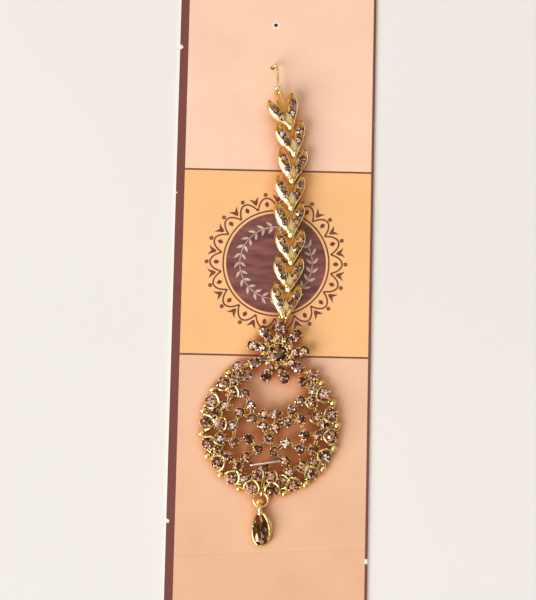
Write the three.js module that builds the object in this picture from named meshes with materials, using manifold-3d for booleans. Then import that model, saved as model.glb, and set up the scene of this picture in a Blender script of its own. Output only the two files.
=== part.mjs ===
// A bridal head chain: a hair hook, eight leaf links, a flower, a pierced crescent and a pear drop,
// tied to a plain display card that lies flat.
// Millimetres. +Z points out of the card, +Y to its top edge, and the origin is under the card's middle.
import * as THREE from 'three';
import { mergeVertices } from 'three/addons/utils/BufferGeometryUtils.js';
import Module from 'manifold-3d';

const wasm = await Module();
wasm.setup();

const { Vector2, Vector3, Matrix4 } = THREE;
const DEG = Math.PI / 180;

// Driving sizes
const GAP = 0.3;                 // free space between pieces that are not soldered
const CARD = { width: 58, length: 200, thick: 0.6, pinHole: 0.6, pinUp: 81.9, pinAcross: -0.7 };
const HOOK = { wire: 0.35, leg: 4.33, bend: 2.4, reach: 1.5, across: -1.4, up: 69.0, lean: 2 };
const OVAL = { wire: 0.3, half: 1.2, straight: 1.3, turn: 45, lean: 14 };
const LINK = { length: 10.6, half: 4.75, thick: 1.8, under: 2.3 };
const CHAIN = { overlap: 2.65, firstOverlap: 2.3, roll: 15, shift: 3.4 };
const PETAL = { pocket: 0.45, stone: 1.05, proud: 0.25 };
const CROSSBAR = { wire: 0.3, drop: 0.6, share: 0.72 };
const LOOP = { wire: 0.25, up: 2.0 };
const BEND = 0.85;               // share of a wire's half width at which its corner starts
const CUP = { tall: 1.9, wall: 0.18, foot: 0.72, crown: 0.45, table: 0.58 };
const BAR = { wide: 0.7, tall: 0.6 };
const FLOWER = { petals: 9, inner: 1.25, outer: 1.55, innerOut: 4.75, outerOut: 7.45 };
const BLOOM = { raise: 0.6, below: 0.62 };
const BAIL = { half: 1.05, sag: 0.25 };
const SETTING = { stone: 2.55, wall: 0.35, tall: 2.2, crown: 0.7 };
const GIRDLE = 0.2;              // thickness of the large stones' edge
const CRESCENT = { radius: 18.1, dome: 1.5, lift: 0.75, below: 21.3, tilt: 5.3 };
const ARCH = { wire: 0.22, rise: 0.15, foot: 0.27 };
const BALL = { radius: 1.0, out: 1.08, up: 0.9 };
const RING = { wire: 0.32, radius: 2.05 };
const LUG = { wire: 0.25 };
const DROP = { half: 2.65, length: 9.9, thick: 2.2, wall: 0.35, floor: 0.6, lean: 3.5, loop: 0.3 };
const PEAR = { crown: 0.8, slope: 0.9, belly: 0.25, taper: 0.6, round: 0.4 };
const TIE = { wire: 0.22, half: 4.1, up: -0.575, lean: 9, bow: 0.2, corner: 0.5 };
const ROUND_SIDES = 10;          // sides of balls and round settings
const STONE_SIDES = 8;
const WIRE_SIDES = 6;
const FINE_SIDES = 5;

const material = (color, roughness, metalness) => (
  new THREE.MeshStandardMaterial({ color, roughness, metalness }));
const GOLD = material(0xd8ad4e, 0.25, 1);
const SILVER = material(0xd9d6d0, 0.3, 1);
const TOPAZ = material(0x4a2c16, 0.08, 0);
const PRINTED = material(0xf8c79a, 0.6, 0);

// A closed geometry becomes a solid that can be joined and cut
function solid(geometry) {
  geometry.deleteAttribute('normal');
  geometry.deleteAttribute('uv');
  const merged = mergeVertices(geometry, 1e-4);
  const corners = [];
  for (let i = 0; i < merged.index.count; i += 3) {
    const [a, b, c] = [0, 1, 2].map((k) => merged.index.getX(i + k));
    if (a !== b && b !== c && c !== a) corners.push(a, b, c);
  }
  return new wasm.Manifold(new wasm.Mesh({
    numProp: 3,
    vertProperties: new Float32Array(merged.attributes.position.array),
    triVerts: new Uint32Array(corners),
  }));
}

const join = (parts) => wasm.Manifold.union(parts).asOriginal().simplify(1e-3);

function piece(name, body, finish) {
  const { vertProperties, triVerts } = body.getMesh();
  const geometry = new THREE.BufferGeometry();
  geometry.setAttribute('position', new THREE.BufferAttribute(vertProperties, 3));
  geometry.setIndex(new THREE.BufferAttribute(triVerts, 1));
  geometry.computeVertexNormals();
  const mesh = new THREE.Mesh(geometry, finish);
  mesh.name = name;
  return mesh;
}

// A turned shape: profile points are [radius, height], from the axis back to the axis
function turned(profile, sides, matrix = new Matrix4()) {
  const points = profile.map(([radius, height]) => new Vector2(radius, height));
  const geometry = new THREE.LatheGeometry(points, sides);
  return solid(geometry.rotateX(Math.PI / 2).applyMatrix4(matrix));
}

// Wire along an open curve, and wire closed into a ring
function wire(curve, radius, sides, steps) {
  const section = new THREE.Shape();
  for (let i = 0; i < sides; i += 1) {
    const angle = (i / sides) * 2 * Math.PI;
    const point = [radius * Math.cos(angle), radius * Math.sin(angle)];
    if (i === 0) section.moveTo(...point);
    else section.lineTo(...point);
  }
  return solid(new THREE.ExtrudeGeometry(section, { steps, extrudePath: curve, bevelEnabled: false }));
}

function closedWire(points, radius, sides, steps) {
  const curve = new THREE.CatmullRomCurve3(points, true);
  return solid(new THREE.TubeGeometry(curve, steps, radius, sides, true));
}

const smooth = (...points) => new THREE.CatmullRomCurve3(points.map((p) => new Vector3(...p)));

// An oval in the plane of two unit directions
function oval(centre, along, across, halfAlong, halfAcross, count = 12) {
  return Array.from({ length: count }, (_, i) => {
    const angle = (i / count) * 2 * Math.PI;
    return centre.clone()
      .addScaledVector(along, halfAlong * Math.cos(angle))
      .addScaledVector(across, halfAcross * Math.sin(angle));
  });
}

// A cup with its cut stone, fused: eight facets round a table
function stoneCup(stone, x, y) {
  const rim = stone + CUP.wall;
  return turned([
    [0, 0], [rim * CUP.foot, 0], [rim, CUP.tall],
    [stone * CUP.table, CUP.tall + CUP.crown], [0, CUP.tall + CUP.crown],
  ], STONE_SIDES, shift(x, y, 0));
}

// A flat prism that stands on z = 0
function prism(points, tall) {
  return solid(new THREE.ExtrudeGeometry(new THREE.Shape(points), { depth: tall, bevelEnabled: false }));
}

// Flat bars between all feet that are closer than reach
function lattice(feet, reach) {
  return feet.flatMap((foot, i) => feet.slice(i + 1)
    .filter((other) => Math.hypot(other.x - foot.x, other.y - foot.y) < reach)
    .map((other) => flatBar(foot, other)));
}

function flatBar(from, to) {
  const start = new Vector2(from.x, from.y);
  const end = new Vector2(to.x, to.y);
  const along = end.clone().sub(start).normalize();
  const side = new Vector2(-along.y, along.x).multiplyScalar(BAR.wide / 2);
  return prism([
    start.clone().sub(side), end.clone().sub(side), end.clone().add(side), start.clone().add(side),
  ], BAR.tall);
}

// Bends a flat solid onto the crescent's dome
function domed(body) {
  const { vertProperties, triVerts } = body.getMesh();
  for (let i = 0; i < vertProperties.length; i += 3) {
    const out = Math.hypot(vertProperties[i], vertProperties[i + 1]) / CRESCENT.radius;
    vertProperties[i + 2] += domeZ(out);
  }
  return new wasm.Manifold(new wasm.Mesh({ numProp: 3, vertProperties, triVerts }));
}

const turn = (angle) => new Matrix4().makeRotationZ(angle * DEG);
const shift = (x, y, z) => new Matrix4().makeTranslation(x, y, z);

// Display card
const cardTop = CARD.thick;

function displayCard(holes) {
  const shape = new THREE.Shape();
  shape.moveTo(-CARD.width / 2, -CARD.length / 2);
  shape.lineTo(CARD.width / 2, -CARD.length / 2);
  shape.lineTo(CARD.width / 2, CARD.length / 2);
  shape.lineTo(-CARD.width / 2, CARD.length / 2);
  for (const { x, y, radius } of holes) {
    shape.holes.push(new THREE.Path().absarc(x, y, radius, 0, 2 * Math.PI, true));
  }
  const options = { depth: CARD.thick, bevelEnabled: false, curveSegments: ROUND_SIDES / 2 };
  return solid(new THREE.ExtrudeGeometry(shape, options));
}

// The chain lies with its left side up, most of it a little to the right of its first crossbar, and
// each tip lies between the petals of the next link
const pitch = LINK.length - CHAIN.overlap;
const firstBarUp = LINK.length - CHAIN.firstOverlap;
const crossbarOut = LINK.half * CROSSBAR.share;

// Hair hook: from its eye up the leg, over the bend and down into the card
const chainZ = cardTop + LINK.under + CHAIN.shift * Math.sin(CHAIN.roll * DEG);
const ringZ = chainZ - CROSSBAR.drop;
const hookTop = new Vector3(HOOK.across, HOOK.up, 0);
const bendStart = new Vector3(HOOK.across + HOOK.reach, HOOK.up - HOOK.bend, ringZ);
const eyeRadius = HOOK.wire + OVAL.wire + GAP;
const legDown = new Vector3(Math.sin(HOOK.lean * DEG), -Math.cos(HOOK.lean * DEG), 0);
const eyeCentre = bendStart.clone().addScaledVector(legDown, HOOK.leg + eyeRadius);
const ovalTurned = new Vector3(Math.cos(OVAL.turn * DEG), 0, -Math.sin(OVAL.turn * DEG));

function hairHook() {
  const tipZ = GAP / 2;
  const leg = smooth(
    [hookTop.x, hookTop.y, tipZ],
    [hookTop.x, hookTop.y, cardTop + HOOK.bend / 4],
    [hookTop.x + HOOK.reach / 5, hookTop.y - HOOK.bend / 20, ringZ - HOOK.bend / 5],
    [hookTop.x + HOOK.reach * 0.75, hookTop.y - HOOK.bend / 4, ringZ],
    bendStart.toArray(),
    bendStart.clone().addScaledVector(legDown, HOOK.leg / 2).toArray(),
    bendStart.clone().addScaledVector(legDown, HOOK.leg).toArray(),
  );
  const eyeAcross = new Vector3().crossVectors(ovalTurned, legDown).normalize();
  const round = oval(eyeCentre, legDown, eyeAcross, eyeRadius, eyeRadius);
  const eye = closedWire(round, HOOK.wire, WIRE_SIDES, 12);
  return join([wire(leg, HOOK.wire, WIRE_SIDES, 12), eye]);
}

// Oval ring: its upper bend goes through the hook's eye and its lower bend round the first crossbar
const ovalDown = new Vector3(Math.sin(OVAL.lean * DEG), -Math.cos(OVAL.lean * DEG), 0);
const ovalHalf = OVAL.straight + OVAL.half;
const ovalCentre = eyeCentre.clone().addScaledVector(ovalDown, ovalHalf);
const ovalSide = ovalTurned.clone().addScaledVector(ovalDown, -ovalTurned.dot(ovalDown)).normalize();

function hookRing() {
  const ends = [[1, 0], [0.87, 0.62], [0.55, 0.97], [0, 1], [-0.55, 0.97], [-0.87, 0.62], [-1, 0],
    [-0.87, -0.62], [-0.55, -0.97], [0, -1], [0.55, -0.97], [0.87, -0.62]];
  const points = ends.map(([down, side]) => ovalCentre.clone()
    .addScaledVector(ovalDown, down * ovalHalf)
    .addScaledVector(ovalSide, side * OVAL.half));
  return closedWire(points, OVAL.wire, WIRE_SIDES, 18);
}

// Leaf links: each leans by tilt, and its tip lies heading degrees to the right of straight down
const COURSE = [
  { tilt: 23, heading: 0 },
  { tilt: 13, heading: 8 },
  { tilt: 1, heading: -5 },
  { tilt: 5, heading: 0 },
  { tilt: 5, heading: 0 },
  { tilt: 4, heading: 2 },
  { tilt: 1, heading: -5 },
  { tilt: -3, heading: -8 },
];

// One leaf's outline from the tip to the notch, in shares of the half width and the length
const LEAF_EDGE = [
  { across: 0.10, along: 0.00 }, { across: 0.46, along: 0.225 }, { across: 0.76, along: 0.435 },
  { across: 0.97, along: 0.62 }, { across: 0.98, along: 0.77 }, { across: 0.90, along: 0.90 },
  { across: 0.77, along: 1.00 }, { across: 0.61, along: 0.92 }, { across: 0.43, along: 0.80 },
  { across: 0.21, along: 0.62 },
];
const NOTCH = 0.53;
const LEAF_POCKET = [
  { across: 0.75, along: 0.94 }, { across: 0.53, along: 0.80 }, { across: 0.29, along: 0.60 },
  { across: 0.13, along: 0.47 }, { across: 0.12, along: 0.345 }, { across: 0.40, along: 0.30 },
  { across: 0.66, along: 0.46 }, { across: 0.85, along: 0.635 }, { across: 0.88, along: 0.77 },
];
const LEAF_STONES = [{ across: 0.60, along: 0.67 }, { across: 0.355, along: 0.42 }];

function leafShape(rows, side) {
  const points = rows.map(({ across, along }) => (
    new Vector2(side * across * LINK.half, along * LINK.length)));
  return side > 0 ? points : points.reverse();
}

function leafLink(crossbarUp) {
  const notch = new Vector2(0, NOTCH * LINK.length);
  const outline = [...leafShape(LEAF_EDGE, 1), notch, ...leafShape(LEAF_EDGE, -1)];
  const flat = { depth: LINK.thick, bevelEnabled: false };
  let body = solid(new THREE.ExtrudeGeometry(new THREE.Shape(outline), flat));
  const floor = LINK.thick - PETAL.pocket;
  const stones = [];
  for (const side of [-1, 1]) {
    const shape = new THREE.Shape(leafShape(LEAF_POCKET, side));
    const pocket = new THREE.ExtrudeGeometry(shape, { depth: PETAL.pocket * 2, bevelEnabled: false });
    body = body.subtract(solid(pocket.translate(0, 0, floor)));
    for (const { across, along } of LEAF_STONES) {
      stones.push(turned([
        [0, floor - PETAL.pocket], [PETAL.stone, floor - PETAL.pocket], [PETAL.stone, floor],
        [PETAL.stone * CUP.table, LINK.thick + PETAL.proud], [0, LINK.thick + PETAL.proud],
      ], STONE_SIDES, shift(side * across * LINK.half, along * LINK.length, 0)));
    }
  }
  const rise = LINK.thick / 4;
  const crossbar = wire(smooth(
    [-crossbarOut, crossbarUp, rise],
    [-crossbarOut, crossbarUp, -CROSSBAR.drop / 2],
    [-crossbarOut * BEND, crossbarUp, -CROSSBAR.drop],
    [0, crossbarUp, -CROSSBAR.drop],
    [crossbarOut * BEND, crossbarUp, -CROSSBAR.drop],
    [crossbarOut, crossbarUp, -CROSSBAR.drop / 2],
    [crossbarOut, crossbarUp, rise],
  ), CROSSBAR.wire, FINE_SIDES, 7);
  return join([body, ...stones, crossbar, backLoop(0, LOOP.up)]);
}

// A loop behind a tip: it comes out of the back, goes round a crossbar and returns
const loopRadius = CROSSBAR.wire + LOOP.wire + GAP;

function backLoop(x, y) {
  const rise = LINK.thick / 5;
  return wire(smooth(
    [x, y - loopRadius, rise],
    [x, y - loopRadius, -CROSSBAR.drop],
    [x, y - loopRadius * 0.7, -CROSSBAR.drop - loopRadius * 0.7],
    [x, y, -CROSSBAR.drop - loopRadius],
    [x, y + loopRadius * 0.7, -CROSSBAR.drop - loopRadius * 0.7],
    [x, y + loopRadius, -CROSSBAR.drop],
    [x, y + loopRadius, rise],
  ), LOOP.wire, FINE_SIDES, 7);
}

// The links' places, in the plane of the rolled chain
const barInRing = OVAL.wire + GAP + CROSSBAR.wire;
const firstBar = ovalCentre.clone().addScaledVector(ovalDown, ovalHalf - barInRing);
const chain = new THREE.Group();
chain.position.set(firstBar.x, firstBar.y, chainZ);
chain.rotation.y = CHAIN.roll * DEG;
chain.updateMatrixWorld();

const links = [];
COURSE.forEach(({ tilt, heading }, i) => {
  const lean = turn(tilt);
  let tip;
  let barUp = firstBarUp;
  if (i === 0) {
    tip = new Vector3(0, -firstBarUp, 0).applyMatrix4(lean);
  } else {
    const last = links[i - 1];
    tip = last.tip.clone().add(new Vector3(0, -pitch, 0).applyMatrix4(turn(heading)));
    const loop = last.loop.clone().sub(tip).applyMatrix4(turn(-tilt));
    barUp = loop.y;
  }
  const loop = tip.clone().add(new Vector3(0, LOOP.up, 0).applyMatrix4(lean));
  links.push({ tip, loop });
  const mesh = piece(`leaf_link_${i + 1}`, leafLink(barUp), GOLD);
  mesh.position.copy(tip);
  mesh.rotation.z = tilt * DEG;
  chain.add(mesh);
});
const lastLink = links[links.length - 1];
const lastTip = lastLink.tip.clone().applyMatrix4(chain.matrixWorld);
const lastLoop = lastLink.loop.clone().setZ(-CROSSBAR.drop).applyMatrix4(chain.matrixWorld);

// The flower and the crescent share one frame: +Y runs up the pendant's axis
const petalReach = FLOWER.outerOut + FLOWER.outer + CUP.wall;
const FLOWER_HEADING = -8;
const flowerCentre = lastTip.clone().add(
  new Vector3(0, -petalReach - BLOOM.below, 0).applyMatrix4(turn(FLOWER_HEADING)));
const pendant = new THREE.Group();
const pendantDown = new Vector3(0, -CRESCENT.below, 0).applyMatrix4(turn(-CRESCENT.tilt));
pendant.position.copy(flowerCentre.clone().add(pendantDown)).setZ(cardTop + CRESCENT.lift);
pendant.rotation.z = -CRESCENT.tilt * DEG;
pendant.updateMatrixWorld();
const toPendant = (point) => point.clone().applyMatrix4(pendant.matrixWorld.clone().invert());

// The crescent's dome, and a place on it: angle from straight down, out in shares of the radius
const domeZ = (out) => CRESCENT.dome * (1 - out * out);

const polar = (angle, out) => ({
  x: out * CRESCENT.radius * Math.sin(angle * DEG),
  y: -out * CRESCENT.radius * Math.cos(angle * DEG),
});

// Stones: sixteen at the rim, then groups of three that zigzag between them, then the inner field
const RIM_STONE = 1.55;
const ZIGZAG_STONE = 1.4;
const FIELD_STONE = 1.38;
const RIM_STEP = 19.47;
const RIM_PER_SIDE = 8;
const HORN_OUT = 1.055;
const ZIGZAG = [
  { group: 1, step: -0.58, out: 0.775 }, { group: 1, step: 0, out: 0.885 },
  { group: 1, step: 0.58, out: 0.78 }, { group: 3, step: -0.58, out: 0.80 },
  { group: 3, step: 0, out: 0.885 }, { group: 3, step: 0.58, out: 0.785 },
  { group: 5, step: -0.58, out: 0.785 }, { group: 5, step: 0, out: 0.88 },
  { group: 5, step: 0.58, out: 0.76 }, { group: 7, step: -0.57, out: 0.79 },
  { group: 7, step: 0, out: 0.90 },
];
const FIELD = [
  { across: 0.100, up: 0.190 }, { across: 0.330, up: 0.300 }, { across: 0.438, up: 0.459 },
  { across: 0.435, up: 0.746 }, { across: 0.098, up: 0.000 }, { across: 0.273, up: 0.098 },
  { across: 0.481, up: 0.160 }, { across: 0.000, up: -0.192 }, { across: 0.295, up: -0.221 },
  { across: 0.567, up: -0.052 }, { across: 0.130, up: -0.368 }, { across: 0.521, up: -0.297 },
  { across: 0.311, up: -0.505 }, { across: 0.000, up: -0.640 },
];
const LATTICE_REACH = 0.252;     // cups closer than this share of the radius are joined by a bar

function crescentStones() {
  const stones = [];
  for (const side of [-1, 1]) {
    for (let k = 0; k < RIM_PER_SIDE; k += 1) {
      const horn = k === RIM_PER_SIDE - 1;
      const place = polar(side * RIM_STEP * (k + 0.5), horn ? HORN_OUT : 1);
      stones.push({ ...place, stone: RIM_STONE, arched: !horn });
    }
    for (const { group, step, out } of ZIGZAG) {
      stones.push({ ...polar(side * RIM_STEP * (group + step), out), stone: ZIGZAG_STONE });
    }
    for (const { across, up } of FIELD) {
      if (across === 0 && side < 0) continue;
      const place = { x: side * across * CRESCENT.radius, y: up * CRESCENT.radius };
      stones.push({ ...place, stone: FIELD_STONE });
    }
  }
  return stones;
}

// Drop ring, hung below the rim in the crescent's lug
const lugRadius = RING.wire + LUG.wire + GAP;
const lugOut = 1.05 * CRESCENT.radius;
const ringUp = GAP + lugRadius + LUG.wire - CRESCENT.lift;
const lugCentre = new Vector3(0, -lugOut, ringUp - domeZ(lugOut / CRESCENT.radius));
const ringCentre = new Vector3(0, -lugOut - RING.radius, ringUp);

function crescent() {
  const parts = [];
  const feet = [];
  for (const { x, y, stone, arched } of crescentStones()) {
    parts.push(stoneCup(stone, x, y));
    feet.push({ x, y });
    if (arched) parts.push(arch(x, y, stone + CUP.wall));
  }
  for (const side of [-1, 1]) {
    for (let k = 1; k < RIM_PER_SIDE; k += 1) {
      const { x, y } = polar(side * RIM_STEP * k, BALL.out);
      parts.push(ball(x, y));
      feet.push({ x, y });
    }
  }
  parts.push(...lattice(feet, LATTICE_REACH * CRESCENT.radius), ...lug(), ...hornLugs());
  return domed(join(parts));
}

// A gold ball at the rim, round above and standing on its bars
function ball(x, y) {
  const rows = [0, 45];
  const profile = rows.map((angle) => [
    BALL.radius * Math.cos(angle * DEG), BALL.up + BALL.radius * Math.sin(angle * DEG),
  ]);
  const foot = BALL.radius * CUP.foot;
  const top = [0, BALL.up + BALL.radius];
  return turned([[0, 0], [foot, 0], ...profile, top], ROUND_SIDES, shift(x, y, 0));
}

// A pointed arch of wire over a rim stone's edge: its feet on the bars to the balls, its point inward
function arch(x, y, cupRadius) {
  const frame = shift(x, y, 0).multiply(turn(Math.atan2(y, x) / DEG + 90));
  const wide = cupRadius + ARCH.wire;
  const top = CUP.tall + ARCH.wire;
  const points = [
    [-wide, -wide * ARCH.foot, BAR.tall / 2], [-wide * 1.04, -wide * 0.25, top * 0.6],
    [-wide * 0.95, wide * 0.4, top], [-wide * 0.55, wide * 0.9, top + ARCH.rise], [0, wide * 1.15, top],
    [wide * 0.55, wide * 0.9, top + ARCH.rise], [wide * 0.95, wide * 0.4, top],
    [wide * 1.04, -wide * 0.25, top * 0.6], [wide, -wide * ARCH.foot, BAR.tall / 2],
  ].map((p) => new Vector3(...p).applyMatrix4(frame));
  return wire(new THREE.CatmullRomCurve3(points), ARCH.wire, FINE_SIDES, 6);
}

// The lug that holds the drop's ring, on a bar from the lowest stones of the zigzag
function lug() {
  const along = new Vector3(0, 1, 0);
  const up = new Vector3(0, 0, 1);
  const root = { x: 0, y: lugCentre.y + lugRadius };
  const lowest = polar(RIM_STEP / 2, 1);
  return [
    closedWire(oval(lugCentre, along, up, lugRadius, lugRadius), LUG.wire, WIRE_SIDES, ROUND_SIDES),
    flatBar(polar(0, ZIGZAG[0].out), root),
    flatBar({ x: -lowest.x, y: root.y + LUG.wire / 2 }, { x: lowest.x, y: root.y + LUG.wire / 2 }),
  ];
}

// Solder lugs from the two horns to the flower
const flowerUp = toPendant(flowerCentre);
const HORN_PETAL = -30;

function hornLugs() {
  const horn = polar(RIM_STEP * (RIM_PER_SIDE - 0.5), HORN_OUT);
  return [-1, 1].map((side) => {
    const petal = new Vector2(
      flowerUp.x + side * FLOWER.outerOut * Math.cos(HORN_PETAL * DEG),
      flowerUp.y + FLOWER.outerOut * Math.sin(HORN_PETAL * DEG));
    const from = new Vector2(side * horn.x, horn.y);
    const free = FLOWER.outer + CUP.wall + GAP;
    return flatBar(from, petal.clone().add(from.clone().sub(petal).setLength(free)));
  });
}

// Flower: nine petals of two stones round the setting of the large stone
const flowerZ = domeZ(HORN_OUT) + BLOOM.raise;

function flower() {
  const recess = SETTING.stone + GAP;
  const outside = recess + SETTING.wall;
  const parts = [];
  for (let k = 0; k < FLOWER.petals; k += 1) {
    const petal = turn((360 / FLOWER.petals) * k);
    for (const [stone, out] of [[FLOWER.inner, FLOWER.innerOut], [FLOWER.outer, FLOWER.outerOut]]) {
      const place = new Vector3(0, out, 0).applyMatrix4(petal);
      parts.push(stoneCup(stone, place.x, place.y));
    }
    const [from, to] = [0, FLOWER.outerOut].map((out) => new Vector3(0, out, 0).applyMatrix4(petal));
    parts.push(flatBar(from, to));
  }
  const setting = turned([
    [0, 0], [outside * CUP.foot, 0], [outside, SETTING.tall], [recess, SETTING.tall],
    [recess * CUP.foot, BAR.tall], [0, BAR.tall],
  ], 2 * STONE_SIDES);
  const hollow = turned([
    [0, BAR.tall], [recess * CUP.foot, BAR.tall], [recess, SETTING.tall],
    [recess, SETTING.tall + CUP.crown], [0, SETTING.tall + CUP.crown],
  ], 2 * STONE_SIDES);
  return join([...parts, setting, flowerBail()]).subtract(hollow);
}

// The bail on the top petal, which the last link's loop goes round
function flowerBail() {
  const top = toPendant(lastLoop).sub(new Vector3(flowerUp.x, flowerUp.y, flowerZ));
  const footY = FLOWER.outerOut + FLOWER.outer / 2;
  const footZ = CUP.tall / 2;
  return wire(smooth(
    [-BAIL.half, footY, footZ],
    [top.x - BAIL.half, top.y - BAIL.half, top.z],
    [top.x - BAIL.half * BEND, top.y - BAIL.sag, top.z],
    top.toArray(),
    [top.x + BAIL.half * BEND, top.y - BAIL.sag, top.z],
    [top.x + BAIL.half, top.y - BAIL.half, top.z],
    [BAIL.half, footY, footZ],
  ), CROSSBAR.wire, WIRE_SIDES, 12);
}

// The large stone: girdle, crown of twelve facets and table, with a cut-off pavilion in the setting
function flowerStone() {
  const low = BAR.tall + GAP;
  const girdle = SETTING.tall;
  return turned([
    [0, low], [SETTING.stone * CUP.foot, low],
    [SETTING.stone, girdle - GIRDLE / 2], [SETTING.stone, girdle + GIRDLE / 2],
    [SETTING.stone * CUP.table, girdle + SETTING.crown], [0, girdle + SETTING.crown],
  ], 12);
}

// Drop: setting with its loop, and the pear stone; the frame's origin is in the ring's lower bend, +Y up
const PEAR_SIDES = 14;

// Half width in shares of the greatest: narrow at the top by taper, full at the bottom by round
function pearWidth(fromTop) {
  const swell = (place) => Math.pow(place, PEAR.taper) * Math.pow(1 - place, PEAR.round);
  return swell(fromTop) / swell(PEAR.taper / (PEAR.taper + PEAR.round));
}

function pearOutline(half, length, top) {
  return Array.from({ length: PEAR_SIDES }, (_, i) => {
    const angle = ((i + 0.5) / PEAR_SIDES) * 2 * Math.PI;
    const fromTop = (1 - Math.cos(angle)) / 2;
    return new Vector2(-half * Math.sign(Math.sin(angle)) * pearWidth(fromTop), top - length * fromTop);
  });
}

const loopHalf = RING.wire + DROP.loop + GAP;
const pearTop = -1.25 * loopHalf;
const dropZ = GAP - CRESCENT.lift - ringUp;

function dropSetting() {
  const grow = DROP.wall + GAP / 2;
  const outside = pearOutline(DROP.half, DROP.length, pearTop);
  const inside = pearOutline(DROP.half - grow, DROP.length - 2 * grow, pearTop - grow);
  const shell = prism(outside, DROP.thick).translate(0, 0, dropZ)
    .subtract(prism(inside, DROP.thick).translate(0, 0, dropZ + DROP.floor));
  const along = new Vector3(0, 1, 0);
  const up = new Vector3(0, 0, 1);
  const loopLow = pearTop - DROP.wall / 3;
  const loopCentre = new Vector3(0, (loopHalf + loopLow) / 2, 0);
  const loop = closedWire(oval(loopCentre, along, up, (loopHalf - loopLow) / 2, loopHalf * 1.05),
    DROP.loop, WIRE_SIDES, 12);
  return join([shell, loop]);
}

function dropStone() {
  const inset = DROP.wall + GAP;
  const low = dropZ + DROP.floor + GAP / 2;
  const girdle = dropZ + DROP.thick;
  const levels = [
    { inward: inset + PEAR.belly, z: low },
    { inward: inset, z: girdle - GIRDLE / 2 },
    { inward: inset, z: girdle + GIRDLE / 2 },
    { inward: inset + PEAR.slope, z: girdle + PEAR.crown },
  ];
  const rings = levels.map(({ inward, z }) => pearOutline(
    DROP.half - inward, DROP.length - 2 * inward, pearTop - inward,
  ).map(({ x, y }) => new Vector3(x, y, z)));
  return solid(stacked(rings));
}

// A closed shape through outlines stacked from the bottom to the top
function stacked(rings) {
  const count = rings[0].length;
  const middle = (ring) => ring.reduce((sum, p) => sum.add(p), new Vector3()).divideScalar(count);
  const points = [...rings.flat(), middle(rings[0]), middle(rings[rings.length - 1])];
  const bottom = rings.length * count;
  const index = [];
  for (let i = 0; i < count; i += 1) {
    const next = (i + 1) % count;
    for (let level = 0; level < rings.length - 1; level += 1) {
      const [a, b] = [level * count + i, level * count + next];
      index.push(a, b, b + count, a, b + count, a + count);
    }
    const top = (rings.length - 1) * count;
    index.push(bottom, next, i, bottom + 1, top + i, top + next);
  }
  const geometry = new THREE.BufferGeometry().setFromPoints(points);
  geometry.setIndex(index);
  return geometry;
}

// Tie wire: a staple over the crescent's lowest field stone, its legs through the lattice into the card
function tieWire(centre, legs) {
  const [left, right] = legs;
  const leg = (foot) => [
    foot.clone().setZ(GAP / 2),
    foot.clone().setZ(centre.z * 0.6),
    foot.clone().setZ(centre.z - TIE.corner),
    centre.clone().lerp(foot, BEND),
  ];
  const crown = centre.clone().setZ(centre.z + TIE.bow);
  const points = [...leg(left), crown, ...leg(right).reverse()];
  return wire(new THREE.CatmullRomCurve3(points), TIE.wire, WIRE_SIDES, 14);
}

// Assembly
const model = new THREE.Group();

const tieZ = domeZ(TIE.up) + CUP.tall + CUP.crown + GAP + TIE.wire;
const tieLocal = new Vector3(0, TIE.up * CRESCENT.radius, tieZ);
const tieCentre = tieLocal.clone().applyMatrix4(pendant.matrixWorld);
const tieLegs = [-1, 1].map((side) => new Vector3(side * TIE.half, 0, 0)
  .applyMatrix4(turn(TIE.lean)).add(tieCentre));

const holes = [
  { x: hookTop.x, y: hookTop.y, radius: HOOK.wire + GAP },
  ...tieLegs.map(({ x, y }) => ({ x, y, radius: TIE.wire + GAP })),
  { x: CARD.pinAcross, y: CARD.pinUp, radius: CARD.pinHole },
];

model.add(
  piece('display_card', displayCard(holes), PRINTED),
  piece('tie_wire', tieWire(tieCentre, tieLegs), SILVER),
  piece('hair_hook', hairHook(), GOLD),
  piece('hook_ring', hookRing(), GOLD),
  chain,
  pendant,
);

const bloom = new THREE.Group();
bloom.position.set(flowerUp.x, flowerUp.y, flowerZ);
bloom.add(piece('flower', flower(), GOLD), piece('flower_stone', flowerStone(), TOPAZ));
pendant.add(bloom, piece('crescent', crescent(), GOLD));

const [acrossX, upY] = [new Vector3(1, 0, 0), new Vector3(0, 1, 0)];
const ringPoints = oval(ringCentre, acrossX, upY, RING.radius, RING.radius);
pendant.add(piece('drop_ring', closedWire(ringPoints, RING.wire, WIRE_SIDES, 14), GOLD));

const drop = new THREE.Group();
drop.position.copy(ringCentre).add(new Vector3(0, -RING.radius, 0));
drop.rotation.z = (CRESCENT.tilt + DROP.lean) * DEG;
drop.add(piece('drop_setting', dropSetting(), GOLD), piece('drop_stone', dropStone(), TOPAZ));
pendant.add(drop);

export default model;
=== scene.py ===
# The looks of a bridal head chain tied to its display card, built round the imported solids.
# Shapes are worked out in millimetres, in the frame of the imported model, and made in metres.
import random
from math import atan2, copysign, cos, degrees, dist, hypot, pi, radians, sin, tan

import bpy
import numpy as np
from mathutils import Matrix, Vector


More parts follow.
